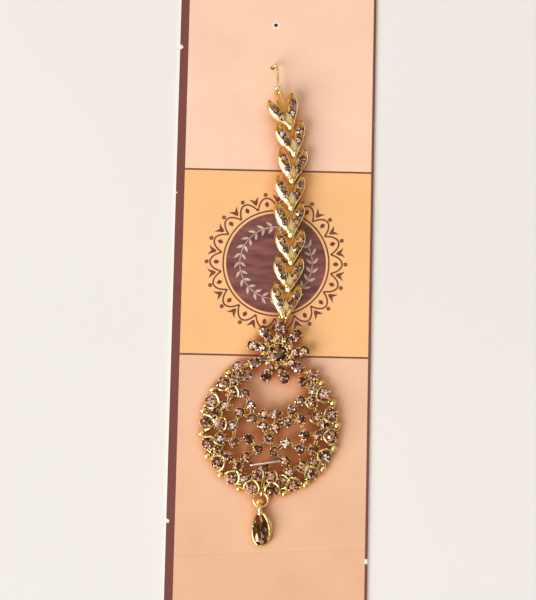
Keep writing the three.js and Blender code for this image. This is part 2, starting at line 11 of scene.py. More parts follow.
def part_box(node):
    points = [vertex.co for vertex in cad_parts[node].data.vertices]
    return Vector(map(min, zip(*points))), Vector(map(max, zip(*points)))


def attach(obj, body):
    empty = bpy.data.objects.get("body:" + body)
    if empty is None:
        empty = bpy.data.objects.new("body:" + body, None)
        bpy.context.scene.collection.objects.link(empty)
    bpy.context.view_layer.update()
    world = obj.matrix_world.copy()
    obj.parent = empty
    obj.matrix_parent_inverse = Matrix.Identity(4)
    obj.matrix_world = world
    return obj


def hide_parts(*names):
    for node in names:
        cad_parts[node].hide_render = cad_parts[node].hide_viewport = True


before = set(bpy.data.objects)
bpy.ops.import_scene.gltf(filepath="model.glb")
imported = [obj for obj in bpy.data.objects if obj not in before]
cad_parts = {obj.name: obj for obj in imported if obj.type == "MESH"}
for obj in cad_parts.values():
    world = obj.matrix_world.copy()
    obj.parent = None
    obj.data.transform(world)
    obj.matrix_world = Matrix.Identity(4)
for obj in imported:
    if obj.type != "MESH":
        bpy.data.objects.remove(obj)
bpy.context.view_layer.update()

MM = 0.001
TAU = 2 * pi
rng = random.Random(7)
vary = rng.uniform

# Sizes repeated from the solids, in millimetres
GAP = 0.3
CARD_THICK = 0.6
PIN_HOLE, PIN_ACROSS, PIN_UP = 0.6, -0.7, 81.9
CHAIN_ROLL = 15.0
LINK_TILTS = (23, 13, 1, 5, 5, 4, 1, -3)
LINK_HALF, LINK_LENGTH, LINK_THICK = 4.75, 10.6, 1.8
LINK_STONE, LINK_PROUD = 1.05, 0.25
FIRST_OVERLAP = 2.3
CROSSBAR_WIRE, CROSSBAR_DROP, CROSSBAR_OUT = 0.3, 0.6, 3.42
LOOP_WIRE, LOOP_UP = 0.25, 2.0
LOOP_RADIUS = CROSSBAR_WIRE + LOOP_WIRE + GAP
LOOP_MIDDLE = Vector((0, LOOP_UP, -CROSSBAR_DROP))
PENDANT_TILT, PENDANT_BELOW, PENDANT_LIFT = 5.3, 21.3, 0.75
CRESCENT_RADIUS, DOME = 18.1, 1.5
CUP_TALL, CUP_WALL, CUP_CROWN = 1.9, 0.18, 0.45
RIM_STONE, ZIGZAG_STONE, FIELD_STONE = 1.55, 1.4, 1.38
RIM_STEP, RIM_PER_SIDE, HORN_OUT = 19.47, 8, 1.055
BAR_TALL = 0.6
LATTICE_REACH = 0.252
PETALS, PETAL_INNER, PETAL_OUTER = 9, 1.25, 1.55
INNER_OUT, OUTER_OUT = 4.75, 7.45
HORN_PETAL = -30
FLOWER_STONE = 2.55
RING_WIRE, RING_RADIUS = 0.32, 2.05
LUG_WIRE = 0.25
DROP_LEAN, DROP_HALF, DROP_LENGTH = 3.5, 2.65, 9.9
DROP_LOOP, PEAR_TAPER, PEAR_ROUND = 0.3, 0.6, 0.4
TIE_WIRE, TIE_LEAN = 0.22, 9.0


def srgb(red, green, blue):
    """A colour as seen, 0 to 255, as linear light."""
    def linear(value):
        value /= 255
        return value / 12.92 if value <= 0.04045 else ((value + 0.055) / 1.055) ** 2.4
    return tuple(linear(value) for value in (red, green, blue)) + (1.0,)


# Building shapes
PLAIN = (1.0, 1.0, 1.0, 1.0)
SHARP_FROM = 35.0                # degrees


class Shape:
    """Closed shells in millimetres, with a colour for each face."""

    def __init__(self):
        self.points, self.faces, self.colors = [], [], []

    def add(self, points, faces, matrix=None, colors=None):
        start = len(self.points)
        matrix = matrix or Matrix()
        self.points.extend(matrix @ Vector(point) for point in points)
        self.faces.extend(tuple(start + i for i in face) for face in faces)
        self.colors.extend(colors or [PLAIN] * len(faces))


def put(name, data):
    """An object in the scene that shows some data."""
    made = bpy.data.objects.new(name, data)
    bpy.context.scene.collection.objects.link(made)
    return made


def make(name, shape, material, slot, node=None):
    """Turns a shape into a piece that rides with the part; metal is smooth but for its sharp edges."""
    metal = slot in ("gold", "silver_wire")
    mesh = bpy.data.meshes.new(name)
    mesh.from_pydata([point * MM for point in shape.points], [], shape.faces)
    layer = mesh.color_attributes.new(name="facet", type="FLOAT_COLOR", domain="CORNER")
    for face, color in zip(mesh.polygons, shape.colors):
        face.use_smooth = metal
        for corner in face.loop_indices:
            layer.data[corner].color = color
    if metal:
        mesh.set_sharp_from_angle(angle=radians(SHARP_FROM))
    mesh.materials.append(material)
    made = put(name, mesh)
    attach(made, "root")
    if node:
        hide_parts(node)


def turns(count):
    """Angles spread evenly round a circle."""
    return [TAU * i / count for i in range(count)]


def at(radius, angle):
    return (radius * cos(angle), radius * sin(angle))


def circle(radius, count):
    return [at(radius, angle) for angle in turns(count)]


def rings_to_faces(count, sides, closed=False):
    """Quads between rings of points that follow each other."""
    faces = []
    for ring in range(count if closed else count - 1):
        after = (ring + 1) % count
        for i in range(sides):
            j = (i + 1) % sides
            faces.append((ring * sides + i, ring * sides + j, after * sides + j, after * sides + i))
    return faces


def loft(shape, rings, matrix=None, flip=False, colors=None, closed=False):
    """A shell through rings that turn the same way, with flat ends, or closed on itself.

    colors is one for each side, or one for each face between the rings."""
    sides = len(rings[0])
    points = [point for ring in rings for point in ring]
    faces = rings_to_faces(len(rings), sides, closed)
    if not closed:
        faces += [tuple(reversed(range(sides))), tuple(range(len(points) - sides, len(points)))]
    if flip:
        faces = [tuple(reversed(face)) for face in faces]
    if colors:
        colors = list(colors) * (len(faces) // sides if len(colors) == sides else 1)
        colors += [colors[0]] * (len(faces) - len(colors))
    shape.add(points, faces, matrix, colors)


def lathe(shape, profile, sides, matrix=None, color=PLAIN):
    """A turned shell: the profile's rows are radius and height, from the axis back to the axis."""
    rings = [[(x, y, height) for x, y in circle(radius, sides)] for radius, height in profile[1:-1]]
    points = [point for ring in rings for point in ring]
    faces = rings_to_faces(len(rings), sides)
    low, high = len(points), len(points) + 1
    points += [(0, 0, profile[0][1]), (0, 0, profile[-1][1])]
    last = (len(rings) - 1) * sides
    for i in range(sides):
        j = (i + 1) % sides
        faces += [(low, j, i), (high, last + i, last + j)]
    shape.add(points, faces, matrix, [color] * len(faces))


def disc(shape, radius, low, high, sides, matrix):
    lathe(shape, [(0, low), (radius, low), (radius, high), (0, high)], sides, matrix)


def bead(shape, radius, matrix, tall=1.0, sides=10, rows=6, color=PLAIN):
    """A ball, drawn out along its own Z by tall."""
    angles = [pi * (row / rows - 0.5) for row in range(rows + 1)]
    lathe(shape, [(radius * cos(a), radius * tall * sin(a)) for a in angles], sides, matrix, color)


def through(points, steps, closed=False):
    """Points, or rows of any length, along a smooth curve through the given ones."""
    given = np.array([tuple(point) for point in points], dtype=float)
    if closed:
        padded = np.vstack([given[-1], given, given[0], given[1]])
        spans = len(given)
    else:
        padded = np.vstack([2 * given[0] - given[1], given, 2 * given[-1] - given[-2]])
        spans = len(given) - 1
    out = []
    for step in range(steps if closed else steps + 1):
        place = spans * step / steps
        k = min(int(place), spans - 1)
        t = place - k
        a, b, c, d = padded[k:k + 4]
        out.append(0.5 * (2 * b + (c - a) * t + (2 * a - 5 * b + 4 * c - d) * t ** 2
                          + (3 * b - a - 3 * c + d) * t ** 3))
    return np.array(out)


def unit(vectors):
    return vectors / np.linalg.norm(vectors, axis=-1, keepdims=True)


CAP_ANGLES = (35, 65)
FIRST_NORMAL = (0.3, 0.2, 0.93)


def tube(shape, path, radius, sides=10, closed=False, flat=1.0, matrix=None, color=PLAIN):
    """Wire along a path, with round ends if it is open; flat widens it along the axis of a closed one."""
    path = np.array([tuple(point) for point in path], dtype=float)
    radii = np.broadcast_to(np.asarray(radius, dtype=float), (len(path),))
    if closed:
        ahead = unit(np.roll(path, -1, 0) - np.roll(path, 1, 0))
        normal = unit(np.cross(path - path.mean(0), ahead).sum(0))
        normals = [normal - direction * (normal @ direction) for direction in ahead]
    else:
        ahead = unit(np.gradient(path, axis=0))
        normal = np.array(FIRST_NORMAL)
        normals = []
        for direction in ahead:
            normal = normal - direction * (normal @ direction)
            normal = normal / np.linalg.norm(normal)
            normals.append(normal)
    normals = unit(np.array(normals))
    across = np.cross(ahead, normals)

    def ring(k, way=0, angle=0):
        """The ring at a point, or one of the smaller rings that round an end."""
        centre = path[k] + way * ahead[k] * radii[k] * sin(radians(angle))
        size = radii[k] * cos(radians(angle))
        return [tuple(centre + size * (cos(a) * across[k] + flat * sin(a) * normals[k]))
                for a in turns(sides)]

    rings = [ring(k) for k in range(len(path))]
    if not closed:
        rings = [ring(0, -1, a) for a in reversed(CAP_ANGLES)] + rings + [ring(-1, 1, a) for a in CAP_ANGLES]
    loft(shape, rings, matrix, flip=True, colors=[color] * sides, closed=closed)


def shift(x, y, z):
    return Matrix.Translation((x, y, z))


def spin(angle, axis="Z"):
    return Matrix.Rotation(radians(angle), 4, axis)


# Cut stones: each facet has a colour of its own; the dark, middle and smoke tones are the glass's own, the
# lighter families stand for painted reflections, and spark for painted white glints
DARK = [srgb(46, 20, 12), srgb(70, 34, 22), srgb(94, 50, 32)]
MIDDLE = [srgb(140, 84, 60), srgb(168, 108, 82), srgb(122, 66, 42)]
PALE_REFLECTIONS = [srgb(236, 174, 126), srgb(250, 200, 158), srgb(210, 156, 132), srgb(236, 206, 190)]
SPARK = [srgb(255, 248, 244)]
SMOKE = [srgb(64, 40, 12), srgb(92, 60, 20), srgb(52, 30, 10)]
AMBER = [srgb(176, 116, 48), srgb(222, 156, 84), srgb(140, 90, 34)]
FLASH = [srgb(248, 196, 144), srgb(214, 198, 200)]


def facet_color(light, families):
    """A facet's colour: the lighter the stone, the more of its facets come from the later families, the
    lighter ones, which are painted reflections and glints.
    """
    weights = (0.62 - 0.45 * light, 0.30, 0.06 + 0.40 * light, 0.02 + 0.05 * light)
    family = rng.choices(families, weights[:len(families)])[0]
    red, green, blue, _ = rng.choice(family)
    swing = vary(0.8, 1.2)
    return (red * swing, green * swing, blue * swing, 1.0)


def cut_stone(shape, outline, crown, matrix, light, families, sides=8, deep=0.55, flashes=True):
    """A brilliant cut: table, star, kite and girdle facets, with a pavilion below the girdle.

    outline(share, turn) gives a place on the plane: share of the way out, and turn of a circle."""
    def ring(share, height, count, offset=0.0):
        return [(*outline(share, (i + offset) / count), height) for i in range(count)]

    table = ring(0.56, crown, sides)
    middle = ring(0.80, crown * 0.56, sides, 0.5)
    girdle = ring(1.0, 0.0, 2 * sides)
    band = ring(1.0, -0.08, 2 * sides)
    points = table + middle + girdle + band + [(*outline(0, 0), crown), (*outline(0, 0), -deep)]
    m, g, b = sides, 2 * sides, 4 * sides
    top, bottom = 6 * sides, 6 * sides + 1
    faces, colors = [], []
    # some tables take one flash colour, a painted reflection
    flashing = flashes and rng.random() < 0.15 + 0.35 * light
    flash = rng.choice(families[-2] + families[-1]) if flashing else None
    for i in range(sides):
        j = (i + 1) % sides
        half, full, after = g + 2 * i + 1, g + 2 * i, g + (2 * i + 2) % (2 * sides)
        faces += [(top, i, j), (i, m + i, j), (i, m + (i - 1) % sides, full, m + i),
                  (m + i, full, half), (m + i, half, after)]
        table_color = flash if flash and i % 3 else facet_color(light, families if i % 2 else families[:2])
        edge = families[:2] if flashes else families
        colors += [table_color] + [facet_color(light, families) for _ in range(2)]
        colors += [facet_color(0.2 * light, edge) for _ in range(2)]
    for i in range(2 * sides):
        j = (i + 1) % (2 * sides)
        faces += [(g + i, b + i, b + j, g + j), (bottom, b + j, b + i)]
        colors += [facet_color(0, families)] * 2
    shape.add(points, faces, matrix, colors)


def round_outline(radius):
    return lambda share, turn: at(radius * share, TAU * turn)


# Materials
def new_material(name, color, metallic=0.0, roughness=0.5):
    made = bpy.data.materials.new(name)
    made.use_nodes = True
    shader = made.node_tree.nodes["Principled BSDF"]
    for key, value in (("Base Color", color), ("Metallic", metallic), ("Roughness", roughness)):
        shader.inputs[key].default_value = value
    return made, made.node_tree, shader


def new_node(tree, kind, inputs=None, **settings):
    """A shader node with its settings; inputs maps a socket to a value or to another socket."""
    made = tree.nodes.new("ShaderNode" + kind)
    for key, value in settings.items():
        setattr(made, key, value)
    for key, value in (inputs or {}).items():
        if isinstance(value, bpy.types.NodeSocket):
            tree.links.new(value, made.inputs[key])
        else:
            made.inputs[key].default_value = value
    return made


def noise(tree, scale, detail=3.0, stretch=(1, 1, 1)):
    place = new_node(tree, "TexCoord").outputs["Object"]
    stretched = new_node(tree, "Mapping", {"Vector": place, "Scale": stretch}).outputs["Vector"]
    made = new_node(tree, "TexNoise", {"Vector": stretched, "Scale": scale, "Detail": detail})
    return made.outputs["Fac"]


def ramp(tree, factor, stops):
    made = new_node(tree, "ValToRGB", {"Fac": factor})
    elements = made.color_ramp.elements
    while len(elements) < len(stops):
        elements.new(0.5)
    for element, (place, color) in zip(elements, stops):
        element.position = place
        element.color = color
    return made.outputs["Color"]


def spread(tree, factor, low, high):
    made = new_node(tree, "MapRange", {"Value": factor, "To Min": low, "To Max": high})
    return made.outputs["Result"]


def mix(tree, first, second, factor=1.0, blend="MIX"):
    """The second colour laid over the first by factor."""
    return new_node(tree, "Mix", {0: factor, 6: first, 7: second},
                    data_type="RGBA", blend_type=blend).outputs[2]


def times(tree, first, second):
    return mix(tree, first, second, blend="MULTIPLY")


def openness(tree, reach):
    """How open a place is to what lies within reach, in millimetres."""
    return new_node(tree, "AmbientOcclusion", {"Distance": reach * MM}, samples=6).outputs["AO"]


def facet_outputs(tree):
    return new_node(tree, "Attribute", attribute_name="facet").outputs


def bumped(tree, shader, height, strength, distance):
    made = new_node(tree, "Bump", {"Height": height, "Strength": strength, "Distance": distance})
    tree.links.new(made.outputs["Normal"], shader.inputs["Normal"])


def gold_material():
    """Polished gilt plating, a little uneven, with painted shade, dark brown, where it is closed in between
    stones and wires.

    The facet colour tints it, in places with painted shade and painted reflections, and where its alpha is
    below 1 the plating is duller and stippled."""
    made, tree, shader = new_material("gold", srgb(250, 222, 150), metallic=1.0)
    bright = ramp(tree, noise(tree, 420, 4),
                  [(0.30, srgb(232, 190, 112)), (0.50, srgb(248, 224, 156)), (0.70, srgb(255, 244, 204))])
    # painted shade: dark brown where ambient occlusion finds the gold closed in
    crevice_shade = ramp(tree, openness(tree, 0.8),
                 [(0.10, srgb(112, 64, 22)), (0.32, srgb(214, 156, 80)), (0.58, PLAIN)])
    facet = facet_outputs(tree)
    tree.links.new(times(tree, times(tree, bright, crevice_shade), facet["Color"]), shader.inputs["Base Color"])
    polished = spread(tree, noise(tree, 900, 3), 0.18, 0.34)
    dull = spread(tree, facet["Alpha"], 0.28, 0.0)
    rough = new_node(tree, "Math", {0: polished, 1: dull}, operation="ADD")
    tree.links.new(rough.outputs["Value"], shader.inputs["Roughness"])
    tree.links.new(spread(tree, facet["Alpha"], 0.5, 1.0), shader.inputs["Metallic"])
    bumped(tree, shader, noise(tree, 1700, 3), spread(tree, facet["Alpha"], 1.0, 0.12), 0.00025)
    return made


def foil_stone_material(name, roughness=0.06, metallic=0.25):
    """Foil-backed glass: each facet has its own colour, some of them painted reflections and glints, and
    shines.
    """
    made, tree, shader = new_material(name, srgb(110, 76, 70), metallic, roughness)
    cloud = ramp(tree, noise(tree, 1500, 2), [(0.3, (0.75, 0.75, 0.75, 1)), (0.7, (1.15, 1.1, 1.1, 1))])
    tree.links.new(times(tree, facet_outputs(tree)["Color"], cloud), shader.inputs["Base Color"])
    shader.inputs["Coat Weight"].default_value = 0.4
    shader.inputs["Coat Roughness"].default_value = 0.03
    return made


def silver_material():
    made, tree, shader = new_material("silver_wire", srgb(246, 243, 238), metallic=1.0)
    tree.links.new(spread(tree, noise(tree, 900, 2, (1, 6, 1)), 0.14, 0.24), shader.inputs["Roughness"])
    return made


# The card's print, in millimetres from its middle
LINES_UP = (38.1, -16.3)
LINE_HALF = 0.27
LEFT_STRIPE, RIGHT_STRIPE = -26.5, 28.25
CREASE_UP = -72.4
MAROON = srgb(122, 62, 54)
CREASE_LEAN, CREASE_HALF = 0.055, 0.5
# Worn spots at the edges: across, up and reach
NICKS = ((-28.75, 74.6, 0.75), (-28.7, -64.3, 0.65), (28.7, -74.6, 0.8), (-28.9, 31.0, 0.35),
         (28.9, 52.5, 0.3))


def card_material():
    """Printed board: three panels, maroon lines and stripes, worn spots, a crease and a plain paper edge,
    with painted warm shade under and beside the jewel.
    """
    made, tree, shader = new_material("card", srgb(250, 205, 170), roughness=0.5)
    place = new_node(tree, "TexCoord").outputs["Object"]
    axes = new_node(tree, "SeparateXYZ", {"Vector": place}).outputs

    def calc(operation, first, second=0.0):
        return new_node(tree, "Math", {0: first, 1: second}, operation=operation).outputs["Value"]

    across = calc("MULTIPLY", axes["X"], 1 / MM)
    up = calc("MULTIPLY", axes["Y"], 1 / MM)
    # the lowest panel is darker towards the bottom
    lower_panel_share = new_node(tree, "MapRange",
                    {"Value": up, "From Min": -100.0, "From Max": LINES_UP[1]}).outputs["Result"]
    color = mix(tree, srgb(238, 186, 146), srgb(248, 200, 166), lower_panel_share)
    prints = [(srgb(255, 198, 134), "GREATER_THAN", up, LINES_UP[1]),
              (srgb(254, 212, 182), "GREATER_THAN", up, LINES_UP[0])]
    prints += [(MAROON, "LESS_THAN", calc("ABSOLUTE", calc("SUBTRACT", up, line)), LINE_HALF)
               for line in LINES_UP]
    prints += [(MAROON, "LESS_THAN", across, LEFT_STRIPE), (MAROON, "GREATER_THAN", across, RIGHT_STRIPE)]
    for tone, test, value, limit in prints:
        color = mix(tree, color, tone, calc(test, value, limit))
    for nick_x, nick_y, reach in NICKS:
        nick = tuple(value * MM for value in (nick_x, nick_y, CARD_THICK))
        away = new_node(tree, "VectorMath", {0: place, 1: nick}, operation="DISTANCE")
        ragged = calc("ADD", calc("MULTIPLY", away.outputs["Value"], 1 / MM),
                      calc("MULTIPLY", noise(tree, 1500, 2), 0.8))
        color = mix(tree, color, srgb(246, 240, 232), calc("LESS_THAN", ragged, reach + 0.3))
    # painted shade: the card turns darker and orange-brown near the jewel, for its shadow and the gold's
    # bounce light
    bounce_shade = ramp(tree, openness(tree, 8),
                  [(0.28, srgb(216, 156, 98)), (0.56, srgb(236, 202, 166)), (0.78, PLAIN)])
    mottle = ramp(tree, noise(tree, 60, 5), [(0.3, (0.95, 0.94, 0.93, 1)), (0.7, (1.03, 1.03, 1.03, 1))])
    color = times(tree, times(tree, color, bounce_shade), mottle)
    normal = new_node(tree, "NewGeometry").outputs["Normal"]
    upward = new_node(tree, "SeparateXYZ", {"Vector": normal}).outputs["Z"]
    color = mix(tree, srgb(232, 222, 206), color, calc("GREATER_THAN", upward, 0.5))
    tree.links.new(color, shader.inputs["Base Color"])
    tree.links.new(spread(tree, noise(tree, 90, 4), 0.38, 0.56), shader.inputs["Roughness"])

    lean = calc("MULTIPLY", across, CREASE_LEAN)
    from_crease = calc("ABSOLUTE", calc("SUBTRACT", calc("SUBTRACT", up, CREASE_UP), lean))
    fold = new_node(tree, "MapRange", {"Value": from_crease, "From Max": CREASE_HALF})
    grain = calc("MULTIPLY", noise(tree, 2600, 3), 0.12)
    bumped(tree, shader, calc("ADD", fold.outputs["Result"], grain), 0.5, 0.0001)
    return made


def print_material(name, color, deep):
    """Ink or paper with soft streaks."""
    color, deep = srgb(*color), srgb(*deep)
    made, tree, shader = new_material(name, color, roughness=0.45)
    streaks = ramp(tree, noise(tree, 90, 4, (1, 5, 1)), [(0.3, deep), (0.7, color)])
    tree.links.new(streaks, shader.inputs["Base Color"])
    return made


gold = gold_material()
rhinestone = foil_stone_material("rhinestone")
topaz = foil_stone_material("topaz", 0.05, 0.6)
silver = silver_material()
card_print = card_material()
ink = print_material("ink", (128, 64, 48), (104, 48, 38))
wine = print_material("wine", (154, 90, 80), (88, 40, 42))
cream = print_material("cream", (226, 206, 186), (196, 164, 144))
paper = print_material("torn_paper", (255, 240, 226), (250, 228, 208))
# painted shade for the holes: a dark one, and a warm orange one for the hook's hole
painted_hole_shade = print_material("painted_hole_shade", (52, 40, 36), (34, 26, 24))
hook_hole_paint = print_material("painted_hook_hole_shade", (226, 140, 84), (206, 120, 68))

STONE_FAMILIES = [DARK, MIDDLE, PALE_REFLECTIONS, SPARK]
LARGE_FAMILIES = [SMOKE, SMOKE, AMBER, FLASH]
PEAR_FAMILIES = [SMOKE, MIDDLE, AMBER, FLASH]


# Places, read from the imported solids
def link_matrix(name, tilt):
    """A link's own frame: its tip at the origin, +Y to its petals, +Z out of the card."""
    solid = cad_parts[name]
    lean = spin(CHAIN_ROLL, "Y") @ spin(tilt)
    local = [lean.transposed() @ (solid.matrix_world @ vertex.co / MM) for vertex in solid.data.vertices]
    middle = (min(p.x for p in local) + max(p.x for p in local)) / 2
    low = min(p.y for p in local)
    back = max(p.z for p in local) - LINK_THICK - LINK_PROUD
    return lean @ shift(middle, low, back)


links = [link_matrix(f"leaf_link_{i + 1}", tilt) for i, tilt in enumerate(LINK_TILTS)]


def middle_of(name):
    low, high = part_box(name)
    return (Vector(low) + Vector(high)) / (2 * MM)


flower_middle = middle_of("flower_stone")
pendant_turn = spin(-PENDANT_TILT)
pendant = shift(flower_middle.x, flower_middle.y, CARD_THICK + PENDANT_LIFT) @ pendant_turn
pendant = pendant @ shift(0, -PENDANT_BELOW, 0)
flower_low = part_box("flower")[0][2] / MM
bloom = shift(flower_middle.x, flower_middle.y, flower_low) @ pendant_turn


# Stone settings
CUP_SIDES, PRONG_WIRE = 16, 0.20
GIRDLE_AT = 1.84
STONE_SPREAD = 0.06              # the cut stones reach this far over their cups


def cup(shape, matrix, stone):
    rim = stone + CUP_WALL
    lathe(shape, [
        (0, 0.02), (rim * 0.72, 0.02), (rim * 0.78, 0.14), (rim * 0.94, 1.46), (rim * 0.97, 1.62),
        (rim * 0.96, 1.72), (stone * 0.98, 1.74), (stone * 0.92, 1.6), (stone * 0.8, 1.2), (0, 1.1),
    ], CUP_SIDES, matrix)


def prongs(shape, matrix, stone, first):
    """Four wires that stand on the cup and bend over the stone's edge."""
    rim, wire = stone + CUP_WALL, PRONG_WIRE
    for k in range(4):
        turn = spin(first + 90 * k + vary(-8, 8))
        top = vary(-0.05, 0.06)
        tube(shape, [(rim * 0.94, 0, 0.8), (rim + 0.10, 0, 1.5), (rim + 0.10, 0, 1.95 + top),
                     (stone + 0.02, 0, 2.16 + top)],
             [wire * 0.9, wire, wire * 1.15, wire * 1.3], sides=8, matrix=matrix @ turn)


def set_stone(metal, stones, matrix, stone, light, first=45.0):
    cup(metal, matrix, stone)
    prongs(metal, matrix, stone, first)
    cut_stone(stones, round_outline(stone + STONE_SPREAD), CUP_CROWN + STONE_SPREAD,
              matrix @ shift(0, 0, GIRDLE_AT) @ spin(vary(0, 45)), light, STONE_FAMILIES)


# Leaf links
# Edges of one petal, from the link's tip to the petal's, in shares of the half width and the length
OUTER_EDGE = ((0.11, 0.02), (0.28, 0.11), (0.48, 0.235), (0.76, 0.43), (0.95, 0.62), (0.98, 0.77),
              (0.90, 0.91), (0.77, 1.0))
INNER_EDGE = ((0.01, 0.08), (0.03, 0.22), (0.07, 0.38), (0.12, 0.52), (0.25, 0.66), (0.40, 0.80),
              (0.58, 0.92), (0.76, 0.99))
PETAL_STATIONS = 34
RIM_HALF, POCKET_DEEP = 0.34, 0.55
# Painted shade: the pockets round the leaf stones are tinted brown, turning orange towards the petal's end
# under the next link; their alpha also dulls them
POCKET_SHADE_TINT = (0.62, 0.46, 0.31, 0.2)
TIP_SHADE_TINT = (1.0, 0.70, 0.40, 0.35)
# Painted reflection: the inner wall is tinted orange, as gold throwing back the card
WALL_REFLECTION_TINT = (1.0, 0.82, 0.56, 0.5)
# The polished flank outside the stones is wide on the left petal, and on the right one the inner wall is
FLANK_WIDE = {-1: 1.10, 1: 0.42}
FLANK_TIP = 0.26
WALL_WIDE = {-1: 0.16, 1: 0.50}


def ease(low, high, value):
    t = min(max((value - low) / (high - low), 0), 1)
    return t * t * (3 - 2 * t)


def petal(shape, side, matrix):
    outer, inner = (through([(x * LINK_HALF, y * LINK_LENGTH, 0) for x, y in edge], PETAL_STATIONS)
                    for edge in (OUTER_EDGE, INNER_EDGE))
    rings = []
    for k, (a, b) in enumerate(zip(outer, inner)):
        u = k / PETAL_STATIONS
        width = np.linalg.norm(b - a)
        along = (b - a) / width
        scale = min(1.0, width / 2.2)
        flank = (FLANK_TIP + (FLANK_WIDE[side] - FLANK_TIP) * (1 - ease(0.30, 0.80, u))) * scale
        wall = WALL_WIDE[side] * scale
        inside = width - wall
        pocket = POCKET_DEEP * ease(0.24, 0.34, u) * (1 - ease(0.90, 0.965, u))
        top = LINK_THICK * (1.0 - 0.36 * ease(0.84, 1.0, u))
        low = 0.12 + 0.5 * ease(0.8, 1.0, u)
        rim = RIM_HALF * min(1.0, width / 1.7)
        section = [
            (0.28 * scale, low), (0.05 * scale, low + 0.2), (0.0, top * 0.40), (flank * 0.10, top * 0.54),
            (flank * 0.55, top * 0.78), (flank * 0.92, top * 0.965), (flank + rim * 0.22, top),
            (flank + rim * 0.55, top - 0.03 * scale), (flank + rim * 0.85, top - pocket * 0.9),
            ((width + flank) / 2, top - pocket),
            (inside - rim * 1.05, top - pocket * 0.9), (inside - rim * 0.85, top - 0.03 * scale),
            (inside - rim * 0.55, top), (inside - rim * 0.18, top * 0.96),
            (width - wall * 0.4, top * 0.70), (width, top * 0.45), (width - 0.05 * scale, low + 0.2),
            (width - 0.28 * scale, low),
        ]
        rings.append([(side * (a[0] + along[0] * q), a[1] + along[1] * q, z) for q, z in section])
    # painted shade in the pockets and painted orange reflection on the inner wall
    tints = []
    for k in range(len(rings) - 1):
        tip = ease(0.72, 0.84, k / PETAL_STATIONS)
        pocket_shade_tint = tuple(low + (high - low) * tip for low, high in zip(POCKET_SHADE_TINT, TIP_SHADE_TINT))
        tints += [PLAIN] * 8 + [pocket_shade_tint] * 2 + [PLAIN] * 3 + [WALL_REFLECTION_TINT] * 2 + [PLAIN] * 3
    loft(shape, rings, matrix, flip=side > 0, colors=tints)


# The pad beside the left flank, from the notch to the tip: middle, half width, place along, and height
PAD = ((0.02, 0.10, 5.7, 1.2), (0.12, 0.40, 5.1, 1.5), (0.28, 0.72, 4.3, 1.66), (0.42, 1.05, 3.4, 1.72),
       (0.44, 1.15, 2.6, 1.74), (0.32, 1.05, 1.8, 1.74), (0.16, 0.85, 1.1, 1.66), (0.05, 0.62, 0.55, 1.45),
       (0.0, 0.42, 0.2, 1.2), (0.0, 0.16, 0.02, 0.9))
PAD_TINT = (1.0, 0.94, 0.84, 0.0)
# Painted shade: the low web under the notch is tinted orange-brown
WEB_SHADE_TINT = (0.92, 0.60, 0.34, 0.2)
# The ridge in which the left flank ends at the link's tip: across, along, height and half width
RIDGE = ((-1.55, 3.4, 1.10, 0.34), (-1.15, 2.7, 1.22, 0.54), (-0.74, 1.95, 1.26, 0.72),
         (-0.34, 1.30, 1.24, 0.88), (-0.10, 0.84, 1.14, 0.96))
# On the last link it is a pair of such ridges
FORK = ((-1.75, 3.7, 1.15, 0.34), (-1.45, 2.9, 1.30, 0.50), (-1.10, 2.0, 1.38, 0.58),
        (-0.78, 1.1, 1.36, 0.56), (-0.56, 0.45, 1.26, 0.50))
# The polished knob on the ridge's end, which leans to the left and down
KNOB_RADIUS, KNOB_TALL = 0.94, 0.33
KNOB_LEAN, KNOB_TILT = -38, 17
KNOB_ACROSS, KNOB_UP = 0.08, 0.78


def pad(shape, matrix, last=False):
    rings = []
    for middle, half, y, top in through(PAD, 22):
        if last:
            middle, top = 0.0, top * (0.6 + 0.4 * ease(1.6, 3.4, y))
        outline = ((-0.8, 0.15), (-1.0, 0.6), (-0.98, top * 0.84), (-0.80, top * 0.97), (0.0, top),
                   (0.80, top * 0.97), (0.98, top * 0.84), (1.0, 0.6), (0.8, 0.15))
        rings.append([(middle + half * x, y, z) for x, z in outline])
    loft(shape, rings, matrix, flip=True, colors=[PLAIN] * 2 + [PAD_TINT] * 4 + [PLAIN] * 3)
    # a low web under the notch, tinted as painted orange-brown shade
    web = [(-0.5, 5.0), (-1.75, 8.4), (1.75, 8.4), (0.5, 5.0)]
    loft(shape, [[(x, y, z) for x, y in web] for z in (0.12, 0.42)], matrix, flip=True, colors=[WEB_SHADE_TINT] * 4)
    for side in (-1, 1) if last else (-1,):
        ridge = through(FORK if last else RIDGE, 14) * (-side, 1, 1, 1)
        tube(shape, ridge[:, :3], ridge[:, 3], sides=14, matrix=matrix)
        if not last:
            knob = matrix @ shift(*ridge[-1, :3]) @ spin(KNOB_LEAN, "Y") @ spin(KNOB_TILT, "X")
            bead(shape, KNOB_RADIUS, knob @ shift(KNOB_ACROSS, 0, KNOB_UP), tall=KNOB_TALL, sides=20, rows=8)


def back_loop(shape, matrix):
    """The loop behind a link's tip, which goes round the next crossbar."""
    r, low = LOOP_RADIUS, -CROSSBAR_DROP
    path = [(-r, 0.4), (-r, low), (-r * 0.7, low - r * 0.7), (0, low - r), (r * 0.7, low - r * 0.7),
            (r, low), (r, 0.4)]
    tube(shape, through([(0, LOOP_UP + y, z) for y, z in path], 20), LOOP_WIRE, matrix=matrix)


def crossbar(shape, up, matrix):
    out, low = CROSSBAR_OUT, -CROSSBAR_DROP
    path = [(-out, up, 0.45), (-out, up, low / 2), (-out * 0.85, up, low), (0, up, low),
            (out * 0.85, up, low), (out, up, low / 2), (out, up, 0.45)]
    tube(shape, through(path, 26), CROSSBAR_WIRE, matrix=matrix)


LEAF_STONES = ((0.60, 0.67), (0.355, 0.42))
# How far the cut stones reach over the solid ones, and the grains that hold them
LEAF_SPREAD, LEAF_CROWN, GRAIN = 0.12, 0.16, 0.20


